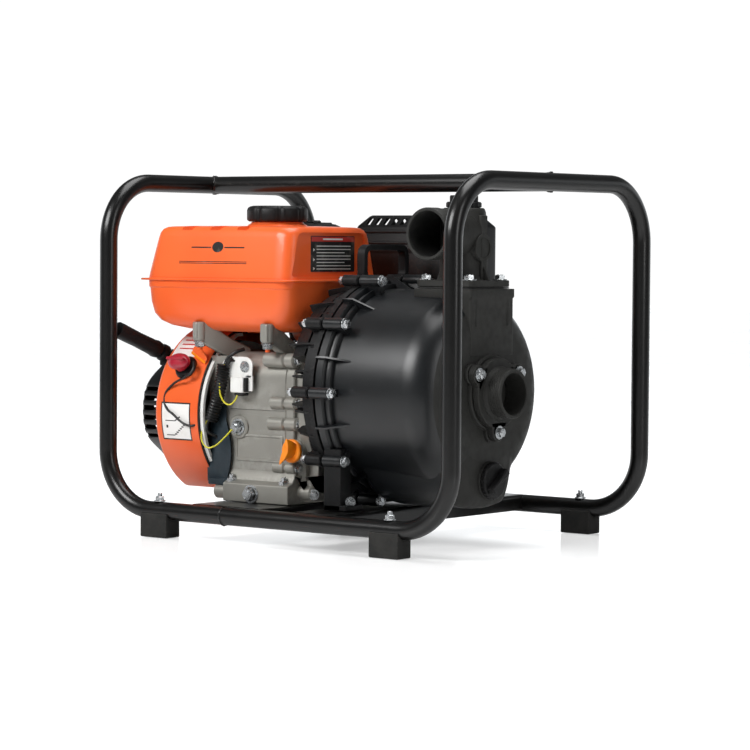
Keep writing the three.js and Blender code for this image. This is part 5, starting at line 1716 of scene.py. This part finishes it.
# ---------------------------------------------------------------- CAD pieces kept as they are
KEPT = {
    "crankshaft": STEEL, "piston": CAST, "wrist_pin": STEEL, "connecting_rod": CAST, "flywheel": CAST,
    "recoil_reel": PLASTIC, "air_filter_element": FOAM, "silencer": STEEL, "shaft_seal": SEAL,
    "casing_gasket": SEAL, "volute": DRUM, "impeller": DRUM, "check_flap": SEAL, "discharge_gasket": SEAL,
}


def finish_kept_nodes():
    for node, finish in KEPT.items():
        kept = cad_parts[node]
        kept.data.materials.clear()
        kept.data.materials.append(finish)


# ---------------------------------------------------------------- stage, light and camera
FLOOR_GLOW = 0.4  # what the camera alone sees of the floor's own white
BACKDROP = 1.05  # the white that the camera alone sees behind the object
AWAY = (-0.617, 0.787, 0)  # level direction from the camera to the object
BRIGHT, DIM = 1.15, 0.11  # light from the low sky behind the object, and from everywhere else


def studio():
    """A pale floor just under the feet."""
    mesh = bpy.data.meshes.new("floor")
    reach = 12
    corners = [(-reach, -reach, 0), (reach, -reach, 0), (reach, reach, 0), (-reach, reach, 0)]
    mesh.from_pydata(corners, [], [(0, 1, 2, 3)])
    floor = bpy.data.objects.new("floor", mesh)
    bpy.context.scene.collection.objects.link(floor)
    floor.location.z = -0.0005
    pale = Finish("floor_paint", "#f4f4f4", 0.14, specular=0.3)
    pale.dull(0.2, pale.mask(pale.noise(3), 0.4, 0.6))
    seen = pale.node("ShaderNodeLightPath").outputs["Is Camera Ray"]
    pale.surface.inputs["Emission Color"].default_value = (1, 1, 1, 1)
    pale.link(pale.mask(seen, 0, 1, FLOOR_GLOW), pale.surface.inputs["Emission Strength"])
    mesh.materials.append(pale.done())


def sky():
    """White behind the object and near the horizon there; dim above and behind the camera."""
    world = bpy.data.worlds.new("studio")
    bpy.context.scene.world = world
    world.use_nodes = True
    nodes, links = world.node_tree.nodes, world.node_tree.links

    def ranged(value, **limits):
        made = nodes.new("ShaderNodeMapRange")
        for name, number in limits.items():
            made.inputs[name.replace("_", " ").title()].default_value = number
        links.new(value, made.inputs["Value"])
        return made.outputs["Result"]

    seen, lit = nodes["Background"], nodes.new("ShaderNodeBackground")
    seen.inputs["Color"].default_value = (1, 1, 1, 1)
    seen.inputs["Strength"].default_value = BACKDROP
    lit.inputs["Color"].default_value = (0.95, 0.98, 1, 1)
    place = nodes.new("ShaderNodeTexCoord").outputs["Generated"]
    facing = nodes.new("ShaderNodeVectorMath")
    facing.operation = "DOT_PRODUCT"
    facing.inputs[1].default_value = AWAY
    links.new(place, facing.inputs[0])
    behind = ranged(facing.outputs["Value"], from_min=0.05, from_max=0.5)
    split = nodes.new("ShaderNodeSeparateXYZ")
    links.new(place, split.inputs[0])
    low = ranged(split.outputs["Z"], from_min=0.34, from_max=0.16)
    both = nodes.new("ShaderNodeMath")
    both.operation = "MULTIPLY"
    links.new(behind, both.inputs[0])
    links.new(low, both.inputs[1])
    links.new(ranged(both.outputs[0], to_min=DIM, to_max=BRIGHT), lit.inputs["Strength"])
    path, mix = nodes.new("ShaderNodeLightPath"), nodes.new("ShaderNodeMixShader")
    links.new(path.outputs["Is Camera Ray"], mix.inputs[0])
    links.new(lit.outputs[0], mix.inputs[1])
    links.new(seen.outputs[0], mix.inputs[2])
    links.new(mix.outputs[0], nodes["World Output"].inputs["Surface"])


def area_light(name, place, size, power):
    """A rectangular lamp that looks at the middle of the object; place and size are metres."""
    data = bpy.data.lights.new(name, "AREA")
    data.shape = "RECTANGLE"
    data.size, data.size_y = size
    data.energy = power
    lamp = bpy.data.objects.new(name, data)
    lamp.location = place
    lamp.rotation_mode = "QUATERNION"
    lamp.rotation_quaternion = (Vector((0, 0, 0.2)) - Vector(place)).to_track_quat("-Z", "Y")
    bpy.context.scene.collection.objects.link(lamp)


def lights():
    area_light("key", (-0.6, -2.2, 1.7), (1.6, 1.0), 62)
    area_light("top", (0.1, 0.2, 2.4), (2.0, 1.4), 40)
    area_light("right_strip", (2.0, -0.4, 0.9), (0.5, 1.4), 8)


def camera():
    """The photo's own view, fitted to the carrying frame; place in metres, turns in degrees."""
    place, heading, down, roll = (2.20986, -2.81477, 0.36089), 38.107, 2.59, 0.42
    data = bpy.data.cameras.new("camera")
    data.sensor_width = 36
    data.lens = 138.4
    data.clip_end = 50
    made = bpy.data.objects.new("camera", data)
    turn = Matrix.Translation(place)
    for degrees, axis in ((heading, "Z"), (90 - down, "X"), (roll, "Z")):
        turn = turn @ Matrix.Rotation(math.radians(degrees), 4, axis)
    made.matrix_world = turn
    bpy.context.scene.collection.objects.link(made)
    bpy.context.scene.camera = made


def build():
    hoop("hoop_recoil_side", "end_hoop_recoil_side")
    hoop("hoop_pump_side", "end_hoop_pump_side")
    weld_beads()
    top_rail()
    crossbar("engine_crossbar", "crossbar_engine")
    crossbar("pump_crossbar", "crossbar_pump")
    feet()
    crankcase()
    case_hardware()
    crankcase_cover()
    finned_barrel()
    cylinder_head()
    valve_cover()
    spark_plug()
    plug_boot()
    dipstick_cap()
    oil_drain()
    fan_shroud()
    shroud_labels()
    recoil_starter()
    pull_handle()
    rope_guide()
    stop_switch()
    switch_plate()
    side_plate()
    ignition_module()
    wire_loom()
    loose_leads()
    fuel_tank()
    warning_panel()
    tank_mark()
    fuel_cap()
    tank_arm("arm_recoil_side", "tank_bracket_recoil_side", (-163, -141, 252), (-135, -96, 228))
    tank_arm("arm_pump_side", "tank_bracket_pump_side", (-53, -141, 252), (-46, -94, 228))
    carburettor()
    flat_lever("choke_arm", "choke_lever", "choke", CHOKE_PIVOT, (0, 28))
    flat_lever("fuel_tap_arm", "fuel_tap_lever", "fuel_tap", TAP_PIVOT, (22, 0))
    throttle()
    air_cleaner()
    silencer_guard()
    exhaust_elbow()
    pump_bracket()
    bracket_loop()
    rim_bolts()
    pump_drum()
    pump_legs()
    pump_sump()
    discharge_pad()
    pump_front()
    suction_port()
    discharge_elbow()
    filler_plug()
    drain_plug()
    finish_kept_nodes()
    studio()
    sky()
    lights()
    camera()


build()
bpy.context.scene.view_settings.view_transform = "Standard"
